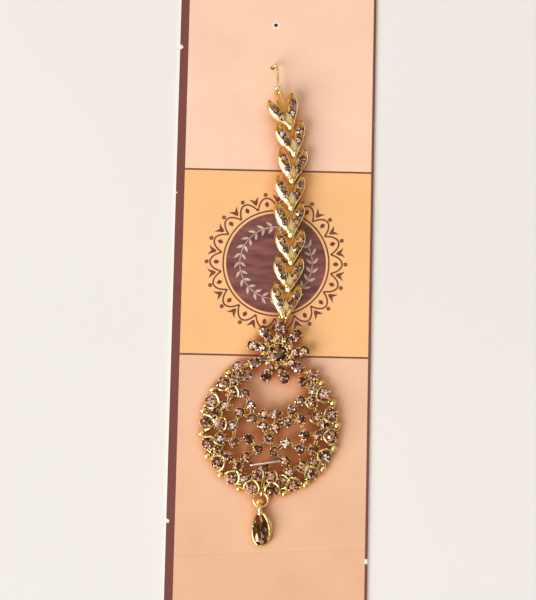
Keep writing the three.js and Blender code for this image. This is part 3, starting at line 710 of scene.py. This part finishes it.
def leaf_link(index):
    metal, stones = Shape(), Shape()
    matrix = links[index]
    for side in (-1, 1):
        petal(metal, side, matrix)
        for x, y in LEAF_STONES:
            place = matrix @ shift(side * x * LINK_HALF, y * LINK_LENGTH, LINK_THICK - 0.2)
            cut_stone(stones, round_outline(LINK_STONE + LEAF_SPREAD), LINK_PROUD + LEAF_CROWN,
                      place @ spin(vary(0, 45)), vary(0.25, 0.8), STONE_FAMILIES, deep=0.3)
            for k in range(4):
                grain = place @ spin(45 + 90 * k + vary(-12, 12)) @ shift(LINK_STONE * 1.10, 0, 0.1)
                bead(metal, GRAIN, grain, sides=8, rows=4)
    pad(metal, matrix, last=index == len(links) - 1)
    back_loop(metal, matrix)
    loop = matrix.inverted() @ (links[index - 1] @ LOOP_MIDDLE)
    crossbar(metal, loop.y if index else LINK_LENGTH - FIRST_OVERLAP, matrix)
    name = f"leaf_link_{index + 1}"
    make(name + "_metal", metal, gold, "gold", name)
    make(name + "_stones", stones, rhinestone, "topaz")


# Crescent: the stones' places are its solid's, by angle from straight down and shares of the radius
ZIGZAG = (
    (1, -0.58, 0.775), (1, 0, 0.885), (1, 0.58, 0.78), (3, -0.58, 0.80), (3, 0, 0.885), (3, 0.58, 0.785),
    (5, -0.58, 0.785), (5, 0, 0.88), (5, 0.58, 0.76), (7, -0.57, 0.79), (7, 0, 0.90),
)
FIELD = (
    (0.100, 0.190), (0.330, 0.300), (0.438, 0.459), (0.435, 0.746), (0.098, 0.000), (0.273, 0.098),
    (0.481, 0.160), (0.000, -0.192), (0.295, -0.221), (0.567, -0.052), (0.130, -0.368), (0.521, -0.297),
    (0.311, -0.505), (0.000, -0.640),
)
BALL_OUT, BALL_RADIUS, BALL_PROUD = 1.08, 1.0, 0.1
ARCH_WIRE, INNER_ARCH_WIRE, INNER_ARCHES = 0.33, 0.23, 0.6
RIM_GRAINS, ZIGZAG_GRAINS = 5, 3


def dome_z(x, y):
    return DOME * (1 - (x * x + y * y) / CRESCENT_RADIUS ** 2)


def polar(angle, out):
    turn = radians(angle)
    return (out * CRESCENT_RADIUS * sin(turn), -out * CRESCENT_RADIUS * cos(turn))


def over(x, y):
    """The pendant's own frame, moved to a place on its dome."""
    return pendant @ shift(x, y, dome_z(x, y))


def askew():
    return spin(vary(-3, 3), "X") @ spin(vary(-3, 3), "Y")


def on_dome(x, y):
    """A frame on the dome, leaning out with it and a little askew."""
    lean = degrees(atan2(2 * DOME * hypot(x, y), CRESCENT_RADIUS ** 2))
    around = degrees(atan2(y, x))
    tilt = spin(around) @ spin(lean, "Y") @ spin(-around)
    return over(x, y) @ tilt @ askew()


def arch(shape, x, y, stone, wire=ARCH_WIRE, turn=0.0):
    """A wire bent to a pointed arch round a stone, none quite like the next."""
    inward = spin(degrees(atan2(y, x)) + 90 + turn + vary(-14, 14))
    here = over(x, y) @ inward
    wide = stone + CUP_WALL + 0.26
    top = CUP_TALL + 0.40
    left, right = (vary(0.93, 1.08) for _ in range(2))
    peak = vary(-0.25, 0.25)
    leg = ((-0.55, 1.0, 0.5), (-0.2, 1.05, top * 0.7), (0.4, 0.95, top))
    path = [(-wide * out * left, wide * y, z) for y, out, z in leg]
    path += [(-wide * 0.52, wide * 0.88, top + 0.15), (peak, wide * 1.18, top),
             (wide * 0.52, wide * 0.88, top + 0.15)]
    path += [(wide * out * right, wide * y, z) for y, out, z in reversed(leg)]
    tube(shape, through(path, 36), wire, matrix=here)


def granules(shape, x, y, stone, count):
    """Grains of solder round a cup."""
    for _ in range(count):
        out = stone + CUP_WALL + vary(0.05, 0.30)
        grain = over(x, y) @ spin(vary(0, 360)) @ shift(out, 0, vary(0.8, 1.8))
        bead(shape, vary(0.20, 0.36), grain, sides=8)


# Painted shade: the low wire under each bar is tinted orange-brown
BACK_SHADE_TINT = (1.0, 0.74, 0.42, 0.3)
BAR_WIRE, BAR_APART, BACK_WIRE = 0.24, 0.26, 0.40


def bar(shape, start, end, wire=BAR_WIRE, apart=BAR_APART):
    """A pair of soldered wires from one foot to another, a little bowed, over a lower one tinted as painted
    orange-brown shade.
    """
    ends = [Vector((x, y, dome_z(x, y) + 1.5 * BAR_TALL)) for x, y in (start, end)]
    beside = (ends[1] - ends[0]).cross(Vector((0, 0, 1))).normalized() * apart
    for side in (-1, 1):
        middle = (ends[0] + ends[1]) / 2 + beside * side * vary(0.8, 2.0)
        middle.z += vary(0.0, 0.35)
        path = [ends[0] + beside * side, middle, ends[1] + beside * side]
        tube(shape, through(path, 6), wire, sides=8, matrix=pendant)
    low = Vector((0, 0, -BAR_TALL))
    path = [ends[0] + low, (ends[0] + ends[1]) / 2 + low * 1.1, ends[1] + low]
    tube(shape, through(path, 4), BACK_WIRE, sides=8, matrix=pendant, color=BACK_SHADE_TINT)
    solder = ends[0].lerp(ends[1], vary(0.3, 0.7))
    bead(shape, vary(0.24, 0.40), pendant @ Matrix.Translation(solder), sides=8)


def crescent():
    metal, stones = Shape(), Shape()
    feet = []

    def place(x, y, stone, light, turned=False):
        set_stone(metal, stones, on_dome(x, y), stone, vary(*light), vary(0, 90) if turned else 45.0)
        feet.append((x, y))

    for side in (-1, 1):
        for k in range(RIM_PER_SIDE):
            horn = k == RIM_PER_SIDE - 1
            x, y = polar(side * RIM_STEP * (k + 0.5), HORN_OUT if horn else 1)
            place(x, y, RIM_STONE, (0.3, 1.0))
            granules(metal, x, y, RIM_STONE, RIM_GRAINS)
            if not horn:
                arch(metal, x, y, RIM_STONE)
        for group, step, out in ZIGZAG:
            x, y = polar(side * RIM_STEP * (group + step), out)
            place(x, y, ZIGZAG_STONE, (0.2, 0.9))
            granules(metal, x, y, ZIGZAG_STONE, ZIGZAG_GRAINS)
            if rng.random() < INNER_ARCHES:
                arch(metal, x, y, ZIGZAG_STONE, INNER_ARCH_WIRE, vary(0, 360))
        for across, up in FIELD:
            if across or side > 0:
                place(side * across * CRESCENT_RADIUS, up * CRESCENT_RADIUS, FIELD_STONE, (0.0, 0.6), True)
        for k in range(1, RIM_PER_SIDE):
            x, y = polar(side * RIM_STEP * k, BALL_OUT)
            rim_ball(metal, x, y)
            feet.append((x, y))
    for i, foot in enumerate(feet):
        for other in feet[i + 1:]:
            if dist(foot, other) < LATTICE_REACH * CRESCENT_RADIUS:
                bar(metal, foot, other)
    lug(metal)
    horn_lugs(metal)
    make("crescent_metal", metal, gold, "gold", "crescent")
    make("crescent_stones", stones, rhinestone, "topaz")


def strand(shape, x, y):
    """A loose end of wire, bent over beside a rim ball, on the side of the stones."""
    inward = degrees(atan2(-y, -x))
    side = rng.choice((-1, 1))
    start = inward + side * vary(-20, 40)
    sweep = side * vary(50, 90)
    path = []
    for k in range(5):
        angle = radians(start + sweep * k / 4)
        out = BALL_RADIUS + 0.50 - 0.30 * k / 4 + vary(-0.1, 0.1)
        path.append((x + out * cos(angle), y + out * sin(angle), dome_z(x, y) + 1.0 + sin(pi * k / 4)))
    tube(shape, through(path, 16), vary(0.19, 0.27), sides=8, matrix=pendant)


def rim_ball(shape, x, y):
    """A gold dome at the rim on its short stalk, with solder and wire ends round it."""
    for _ in range(3):
        strand(shape, x, y)
    here = over(x, y)
    r = BALL_RADIUS + BALL_PROUD
    lathe(shape, [(0, 0.02), (r * 0.70, 0.02), (r * 0.78, 0.35), (r * 0.97, 0.75), (r, 1.0), (r * 0.93, 1.35),
                  (r * 0.72, 1.66), (r * 0.4, 1.86), (0, 1.92)], 20, here)
    for _ in range(2):
        turn = spin(vary(0, 360))
        bead(shape, 0.34, here @ turn @ shift(r * 0.75, 0, vary(0.5, 1.2)), sides=8)


LUG_OUT = 1.05 * CRESCENT_RADIUS
LUG_RADIUS = RING_WIRE + LUG_WIRE + GAP
RING_UP = GAP + LUG_RADIUS + LUG_WIRE - PENDANT_LIFT
# The polished wires are a little thicker than the solid ones
LUG_PROUD, RING_PROUD = 0.08, 0.06


def lug(shape):
    path = [(0, -LUG_OUT + y, RING_UP + z) for y, z in circle(LUG_RADIUS, 24)]
    tube(shape, path, LUG_WIRE + LUG_PROUD, closed=True, matrix=pendant)
    root = (0, -LUG_OUT + LUG_RADIUS)
    low_stone = polar(RIM_STEP / 2, 1)
    bar(shape, polar(0, 0.775), root)
    bar(shape, (-low_stone[0], root[1]), (low_stone[0], root[1]))


def horn_lugs(shape):
    horn = polar(RIM_STEP * (RIM_PER_SIDE - 0.5), HORN_OUT)
    for side in (-1, 1):
        turn = radians(HORN_PETAL)
        petal_at = Vector((side * OUTER_OUT * cos(turn), PENDANT_BELOW + OUTER_OUT * sin(turn)))
        start = Vector((side * horn[0], horn[1]))
        end = petal_at + (start - petal_at).normalized() * (PETAL_OUTER + CUP_WALL + 0.1)
        bar(shape, tuple(start), tuple(end), wire=0.34, apart=0.2)


# Flower
# The small domes between the petals: turn from a petal, place along it, height and radius
BOSS_TURN, BOSS_OUT, BOSS_UP, BOSS_RADIUS = 20, 3.95, 1.5, 0.92
# Painted shade: the domes, and the drop's solder bead, are tinted orange, as gold in shadow throwing back the
# card
ORANGE_SHADE_TINT = (1.0, 0.80, 0.50, 0.2)
BAIL_HALF = 1.05


def flower():
    metal, stones, large = Shape(), Shape(), Shape()
    for k in range(PETALS):
        turn = bloom @ spin(360 * k / PETALS)
        for stone, out in ((PETAL_INNER, INNER_OUT), (PETAL_OUTER, OUTER_OUT)):
            set_stone(metal, stones, turn @ shift(0, out, 0) @ askew(), stone, vary(0.1, 0.7))
        tube(metal, [(0, 1.5, 0.3), (0, OUTER_OUT, 0.3)], 0.3, sides=8, matrix=turn)
        beside = turn @ spin(BOSS_TURN)
        # the dome is tinted as painted orange shade
        bead(metal, BOSS_RADIUS, beside @ shift(0, BOSS_OUT, BOSS_UP), tall=0.55, sides=16, color=ORANGE_SHADE_TINT)
        bead(metal, 0.26, beside @ shift(0, 3.0, 2.0), sides=10)
    inner, outer = FLOWER_STONE + 0.02, FLOWER_STONE + 0.40
    lathe(metal, [(0, 0.02), (outer * 0.72, 0.02), (outer * 0.78, 0.2), (outer * 0.98, 1.9), (outer, 2.1),
                  (outer * 0.97, 2.22), (inner + 0.1, 2.26), (inner, 2.18), (inner * 0.98, 1.95),
                  (inner * 0.75, 0.9), (0, 0.8)], 36, bloom)
    cut_stone(large, round_outline(FLOWER_STONE + 0.05), 0.72, bloom @ shift(0, 0, 2.12) @ spin(9), 0.6,
              LARGE_FAMILIES, sides=12, deep=1.0, flashes=False)
    for k in range(6):
        claw = bloom @ spin(30 + 60 * k)
        tube(metal, [(0, outer, 1.2), (0, outer + 0.02, 2.0), (0, inner, 2.42), (0, inner - 0.3, 2.55)],
             [0.24, 0.26, 0.28, 0.26], sides=8, matrix=claw)
    bail(metal)
    make("flower_metal", metal, gold, "gold", "flower")
    make("flower_petal_stones", stones, rhinestone, "topaz")
    make("flower_topaz", large, topaz, "topaz", "flower_stone")


def bail(shape):
    """The wire on the top petal that the last link's loop goes round."""
    top = bloom.inverted() @ (links[-1] @ LOOP_MIDDLE)
    half = BAIL_HALF
    foot = (OUTER_OUT + PETAL_OUTER / 2, CUP_TALL / 2)
    arm = ((-half, -half), (-half * 0.85, -0.25), (0, 0), (half * 0.85, -0.25), (half, -half))
    path = [(-half, *foot), *(top + Vector((x, y, 0)) for x, y in arm), (half, *foot)]
    tube(shape, through(path, 30), CROSSBAR_WIRE, matrix=bloom)


# Drop
BAND_WIRE = 0.70
SOLDER_RADIUS, SOLDER_UP = 1.1, 1.3
CAP_RADIUS, CAP_DOWN = 0.85, 0.55
CLAW_RADIUS, CLAW_TURNS = 0.34, (0.22, 0.5, 0.72, 0.80)
PEAR_INSET = 0.44                # the stone's edge lies this far inside the setting's
# The setting from its back to its inner edge: inset, height, and how far the right side flares out
PEAR_PROFILE = (
    (0.55, 0.0, 0.5), (0.14, 0.06, 0.72), (0.0, 0.26, 0.80), (0.02, 0.5, 0.76), (0.10, 0.66, 0.5),
    (0.08, 1.2, 0.25), (0.02, 1.95, 0.08), (0.06, 2.14, 0), (0.22, 2.24, 0), (0.38, 2.16, 0),
    (PEAR_INSET, 1.95, 0), (0.6, 1.1, 0),
)


def pear_width(from_top):
    """Half width in shares of the greatest: narrow at the top, full at the bottom."""
    def swell(place):
        return max(place, 0.0) ** PEAR_TAPER * max(1 - place, 0.0) ** PEAR_ROUND
    return swell(from_top) / swell(PEAR_TAPER / (PEAR_TAPER + PEAR_ROUND))


def drop():
    ring_middle = middle_of("drop_ring")
    ring, setting, stone = Shape(), Shape(), Shape()
    round_path = [ring_middle + Vector((x, y, 0)) for x, y in circle(RING_RADIUS, 48)]
    tube(ring, round_path, RING_WIRE + RING_PROUD, sides=12, closed=True)
    make("drop_ring_wire", ring, gold, "gold", "drop_ring")

    hang = spin(-PENDANT_TILT) @ Vector((0, -RING_RADIUS, 0))
    here = shift(ring_middle.x, ring_middle.y + hang.y, ring_middle.z) @ shift(hang.x, 0, 0) @ spin(DROP_LEAN)
    loop_half = RING_WIRE + DROP_LOOP + GAP
    pear_top = -1.25 * loop_half
    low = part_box("drop_setting")[0][2] / MM - ring_middle.z

    def pear(inward, flare=0.0):
        def place(share, turn):
            half, length = DROP_HALF - inward, DROP_LENGTH - 2 * inward
            angle = TAU * (turn % 1.0)
            from_top = (1 - cos(angle)) / 2
            x = -half * copysign(pear_width(from_top), sin(angle)) + flare * max(-sin(angle), 0)
            y = pear_top - inward - length * from_top
            centre = pear_top - DROP_LENGTH * 0.55
            return (x * share, centre + (y - centre) * share)
        return place

    sides = 56
    rings = [[(*pear(inward, flare)(1.0, (i + 0.5) / sides), low + z) for i in range(sides)]
             for inward, z, flare in PEAR_PROFILE]
    loft(setting, rings, here)
    loop_low = pear_top - 0.55
    centre, reach = (loop_half + loop_low) / 2, (loop_half - loop_low) / 2
    band = [(0, centre + reach * x, loop_half * 1.05 * y) for x, y in circle(1, 32)]
    tube(setting, band, BAND_WIRE, sides=14, closed=True, matrix=here)
    # the solder bead takes the same painted orange shade
    bead(setting, SOLDER_RADIUS, here @ shift(0, SOLDER_UP, 0), tall=0.55, sides=20, rows=10, color=ORANGE_SHADE_TINT)
    bead(setting, CAP_RADIUS, here @ shift(0, pear_top - CAP_DOWN, low + 2.1), tall=0.6, sides=16)
    for turn in CLAW_TURNS:
        bead(setting, CLAW_RADIUS, here @ shift(*pear(CLAW_RADIUS)(1.0, turn), low + 2.25), sides=10)
    make("drop_setting_metal", setting, gold, "gold", "drop_setting")
    cut_stone(stone, pear(PEAR_INSET), 0.85, here @ shift(0, 0, low + 2.05), 0.6, PEAR_FAMILIES, sides=10,
              deep=0.7, flashes=False)
    make("drop_topaz", stone, topaz, "topaz", "drop_stone")


# Hook, its ring and the tie wire
HOOK_WIRE, HOOK_BEND, HOOK_REACH, HOOK_LEAN, HOOK_LEG = 0.35, 2.4, 1.5, 2.0, 4.33
HOOK_ACROSS, HOOK_UP = -1.4, 69.0
OVAL_WIRE, OVAL_HALF, OVAL_LONG, OVAL_TURN, OVAL_LEAN = 0.3, 1.2, 2.5, 45.0, 14.0
OVAL_PROUD, OVAL_FLAT = 0.03, 1.7
# Painted reflection: the hook's ring is tinted orange, as gold throwing back the card
OVAL_REFLECTION_TINT = (1.0, 0.78, 0.50, 0.4)
WIRE_FOOT = 0.15                 # the wires end this far over the card's underside
TIE_PROUD = 0.11


def downward(lean):
    """Down the card, leaning to the right by some degrees."""
    return Vector((sin(radians(lean)), -cos(radians(lean)), 0))


def hook():
    shape = Shape()
    ring_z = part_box("hair_hook")[1][2] / MM - HOOK_WIRE
    down = downward(HOOK_LEAN)
    bend = Vector((HOOK_ACROSS + HOOK_REACH, HOOK_UP - HOOK_BEND, ring_z))
    path = [(HOOK_ACROSS, HOOK_UP, WIRE_FOOT + HOOK_WIRE),
            (HOOK_ACROSS, HOOK_UP, CARD_THICK + HOOK_BEND / 4),
            (HOOK_ACROSS + HOOK_REACH / 5, HOOK_UP - HOOK_BEND / 20, ring_z - HOOK_BEND / 5),
            (HOOK_ACROSS + HOOK_REACH * 0.75, HOOK_UP - HOOK_BEND / 4, ring_z),
            bend, bend + down * HOOK_LEG / 2, bend + down * HOOK_LEG]
    tube(shape, through(path, 60), HOOK_WIRE, sides=12)
    turned = Vector((cos(radians(OVAL_TURN)), 0, -sin(radians(OVAL_TURN))))
    side = turned.cross(down).normalized()
    radius = HOOK_WIRE + OVAL_WIRE + GAP
    centre = bend + down * (HOOK_LEG + radius)
    eye = [centre + down * x + side * y for x, y in circle(radius, 32)]
    tube(shape, eye, HOOK_WIRE, sides=12, closed=True)
    make("hair_hook_wire", shape, gold, "gold", "hair_hook")

    ring = Shape()
    ring_down = downward(OVAL_LEAN)
    ring_side = (turned - ring_down * turned.dot(ring_down)).normalized()
    middle = middle_of("hook_ring")
    half = [(1, 0), (0.87, 0.62), (0.55, 0.97), (0, 1), (-0.55, 0.97), (-0.87, 0.62)]
    oval = half + [(-a, -b) for a, b in half]
    points = [middle + ring_down * OVAL_LONG * a + ring_side * OVAL_HALF * b for a, b in oval]
    tube(ring, through(points, 60, closed=True), OVAL_WIRE + OVAL_PROUD, sides=12, closed=True,
         flat=OVAL_FLAT, color=OVAL_REFLECTION_TINT)
    make("hook_ring_wire", ring, gold, "gold", "hook_ring")


def tie_legs():
    """The tie wire's highest middle line, and where its two legs go into the card."""
    low, high = (Vector(corner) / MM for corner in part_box("tie_wire"))
    centre = (low + high) / 2
    half = (high.x - low.x) / 2 - TIE_WIRE
    rise = half * tan(radians(TIE_LEAN))
    return high.z - TIE_WIRE, *(Vector((centre.x + s * half, centre.y + s * rise, 0)) for s in (-1, 1))


def tie():
    shape = Shape()
    top, left, right = tie_legs()
    middle = (left + right) / 2

    def up(z):
        return Vector((0, 0, z))

    def leg(foot):
        return [foot + up(WIRE_FOOT + TIE_WIRE), foot + up(top * 0.6), foot + up(top - 0.7),
                foot.lerp(middle, 0.15) + up(top - 0.2)]

    path = leg(left) + [middle + up(top)] + leg(right)[::-1]
    tube(shape, through(path, 60), TIE_WIRE + TIE_PROUD, sides=12)
    make("tie_wire_silver", shape, silver, "silver_wire", "tie_wire")


# The card's ornament: a wine disc with a wreath of leaves, in a ring of repeated arches, buds and dots
ORNAMENT = Vector((0.87, 10.85, 0))
DISC_RADIUS, RING_IN, RING_OUT = 14.6, 15.9, 21.2
REPEATS = 18
WREATH_RADIUS, WREATH_LEAVES = 10.6, 26
PRINT_LOW, PRINT_HIGH, PRINT_STEP = CARD_THICK - 0.05, CARD_THICK + 0.015, 0.012


def ribbon(shape, path, widths, closed=False, coat=0):
    """A printed line: a flat band along a path on the card, each coat a little over the last."""
    high = PRINT_HIGH + coat * PRINT_STEP
    path = np.array([(p[0], p[1], 0.0) for p in path])
    widths = np.broadcast_to(np.asarray(widths, dtype=float), (len(path),))
    ahead = unit(np.roll(path, -1, 0) - np.roll(path, 1, 0)) if closed else unit(np.gradient(path, axis=0))
    side = np.stack([-ahead[:, 1], ahead[:, 0], np.zeros(len(path))], axis=1)
    rings = []
    for point, across, width in zip(path, side, widths):
        left, right = point + across * width / 2, point - across * width / 2
        rings.append([(left[0], left[1], PRINT_LOW), (right[0], right[1], PRINT_LOW),
                      (right[0], right[1], high), (left[0], left[1], high)])
    loft(shape, rings, shift(*ORNAMENT), flip=True, closed=closed)


def leaf(shape, place, thin, wide, power=1.0, coat=2):
    """A printed leaf or bud; place gives the points of its middle line, from 0 to 1."""
    shares = np.linspace(0, 1, 9)
    widths = [thin + wide * sin(pi * t ** power) for t in shares]
    ribbon(shape, [place(t) for t in shares], widths, coat=coat)


def ornament():
    ground, lines, wreath = Shape(), Shape(), Shape()
    disc(ground, DISC_RADIUS, PRINT_LOW, PRINT_HIGH, 120, shift(*ORNAMENT))
    ribbon(lines, circle(RING_IN - 0.45, 160), 0.45, closed=True)
    step = TAU / REPEATS
    for k in range(REPEATS):
        middle = step * k
        arc = [at(RING_IN + 0.1 + 3.3 * cos(t * pi / 2) ** 0.8, middle + step * 0.5 * t)
               for t in np.linspace(-0.98, 0.98, 25)]
        ribbon(lines, arc, 0.46, coat=1)
        leaf(lines, lambda t: at(RING_IN + 0.7 + 1.7 * t, middle), 0.08, 1.15)
        for side in (-1, 1):
            leaf(lines, lambda t: at(RING_IN + 1.9 + 2.3 * t, middle + side * step * (0.5 - 0.20 * t * t)),
                 0.06, 0.8, 0.7, coat=3 if side > 0 else 4)
        tip = at(RING_OUT - 0.9, middle)
        ribbon(lines, [(tip[0] + x, tip[1] + y) for x, y in circle(0.36, 16)], 0.42, closed=True, coat=5)
    ribbon(wreath, circle(WREATH_RADIUS, 160), 0.22, closed=True, coat=1)
    for angle in turns(WREATH_LEAVES):
        for side in (-1, 1):
            leaf(wreath, lambda t: at(WREATH_RADIUS + side * (0.25 + 1.5 * t), angle + 0.14 * t),
                 0.06, 0.72, 0.8)
    make("card_wreath", wreath, cream, "card")
    make("card_disc", ground, wine, "card")
    make("card_ornament", lines, ink, "card")


# The card's holes: how low the torn collar hangs, its least and greatest width, and the inset and heights of
# the painted shade discs in the holes
COLLAR_LOW, COLLAR_WIDTHS = 0.08, (0.30, 0.62)
SHADE_INSET, SHADE_LOW, SHADE_HIGH = 0.03, 0.02, 0.10


def holes():
    """The torn paper round the pin hole, and discs of painted shade in the card's holes: dark in the pin and
    tie holes, warm orange in the hook's.
    """
    middle = Vector((PIN_ACROSS, PIN_UP, 0)) - ORNAMENT
    collar, shade, warm_hole_shade = Shape(), Shape(), Shape()
    torn = [vary(*COLLAR_WIDTHS) for _ in range(24)]
    rim = [at(PIN_HOLE + width / 2, a) for a, width in zip(turns(24), torn)]
    ribbon(collar, [(middle.x + x, middle.y - COLLAR_LOW + y) for x, y in rim], torn, closed=True)
    make("card_torn_paper", collar, paper, "card")
    # painted shade: dark discs low in the pin and tie holes, a warm orange one in the hook's hole
    shade_discs = [(shade, PIN_ACROSS, PIN_UP, PIN_HOLE), (warm_hole_shade, HOOK_ACROSS, HOOK_UP, HOOK_WIRE + GAP)]
    shade_discs += [(shade, leg.x, leg.y, TIE_WIRE + GAP) for leg in tie_legs()[1:]]
    for shape, x, y, radius in shade_discs:
        disc(shape, radius - SHADE_INSET, SHADE_LOW, SHADE_HIGH, 24, shift(x, y, 0))
    make("card_hole_shade", shade, painted_hole_shade, "card")
    make("card_hook_hole_shade", warm_hole_shade, hook_hole_paint, "card")


# Camera, light and floor: the camera's fit to the photo, in pixels, millimetres and degrees
IMAGE_WIDTH = 536
FOCAL_PIXELS = 1198.5
CAMERA_FAR, CAMERA_TILT, CAMERA_ROLL = 350.0, 4.59, 1.324
AIM_ACROSS = -1.214
FLOOR_HALF = 12.0                # metres


def camera():
    data = bpy.data.cameras.new("camera")
    data.sensor_fit = "HORIZONTAL"
    data.sensor_width = 36.0
    data.lens = FOCAL_PIXELS / IMAGE_WIDTH * data.sensor_width
    data.clip_start, data.clip_end = 0.01, 20
    made = put("camera", data)
    turn = spin(CAMERA_TILT, "X") @ spin(CAMERA_ROLL)
    made.matrix_world = shift(AIM_ACROSS * MM, 0, 0) @ turn @ shift(0, 0, CAMERA_FAR * MM)
    bpy.context.scene.camera = made


def area_light(name, place, size, energy, color):
    data = bpy.data.lights.new(name, "AREA")
    data.shape = "DISK"
    data.size = size
    data.energy = energy
    data.color = color
    made = put(name, data)
    made.location = place
    made.rotation_euler = (-Vector(place)).to_track_quat("-Z", "Y").to_euler()


def studio():
    area_light("key", (-3.97, -3.07, 3.27), 5.0, 445, (0.91, 0.935, 1.0))
    area_light("top", (-0.6, 0.9, 5.9), 2.8, 27, (1.0, 0.99, 0.97))
    area_light("right", (3.2, 1.2, 4.6), 3.4, 26, (1.0, 0.99, 0.98))
    area_light("overhead", (-1.0, 3.6, 4.6), 3.6, 24, (1.0, 0.98, 0.96))
    world = bpy.data.worlds.new("studio")
    world.use_nodes = True
    background = world.node_tree.nodes["Background"]
    background.inputs["Color"].default_value = (1.0, 0.84, 0.66, 1)
    background.inputs["Strength"].default_value = 0.30
    bpy.context.scene.world = world
    bpy.context.scene.view_settings.view_transform = "Standard"

    made, tree, shader = new_material("floor", srgb(240, 238, 232), roughness=0.8)
    tint = ramp(tree, noise(tree, 8, 2), [(0.3, srgb(238, 236, 230)), (0.7, srgb(242, 240, 235))])
    tree.links.new(tint, shader.inputs["Base Color"])
    mesh = bpy.data.meshes.new("floor")
    corners = [(x * FLOOR_HALF, y * FLOOR_HALF, 0) for x, y in ((-1, -1), (1, -1), (1, 1), (-1, 1))]
    mesh.from_pydata(corners, [], [(0, 1, 2, 3)])
    mesh.materials.append(made)
    floor = put("floor", mesh)


camera()
studio()
for card_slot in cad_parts["display_card"].material_slots:
    card_slot.material = card_print
ornament()
hook()
for index in range(len(links)):
    leaf_link(index)
flower()
crescent()
drop()
tie()
holes()
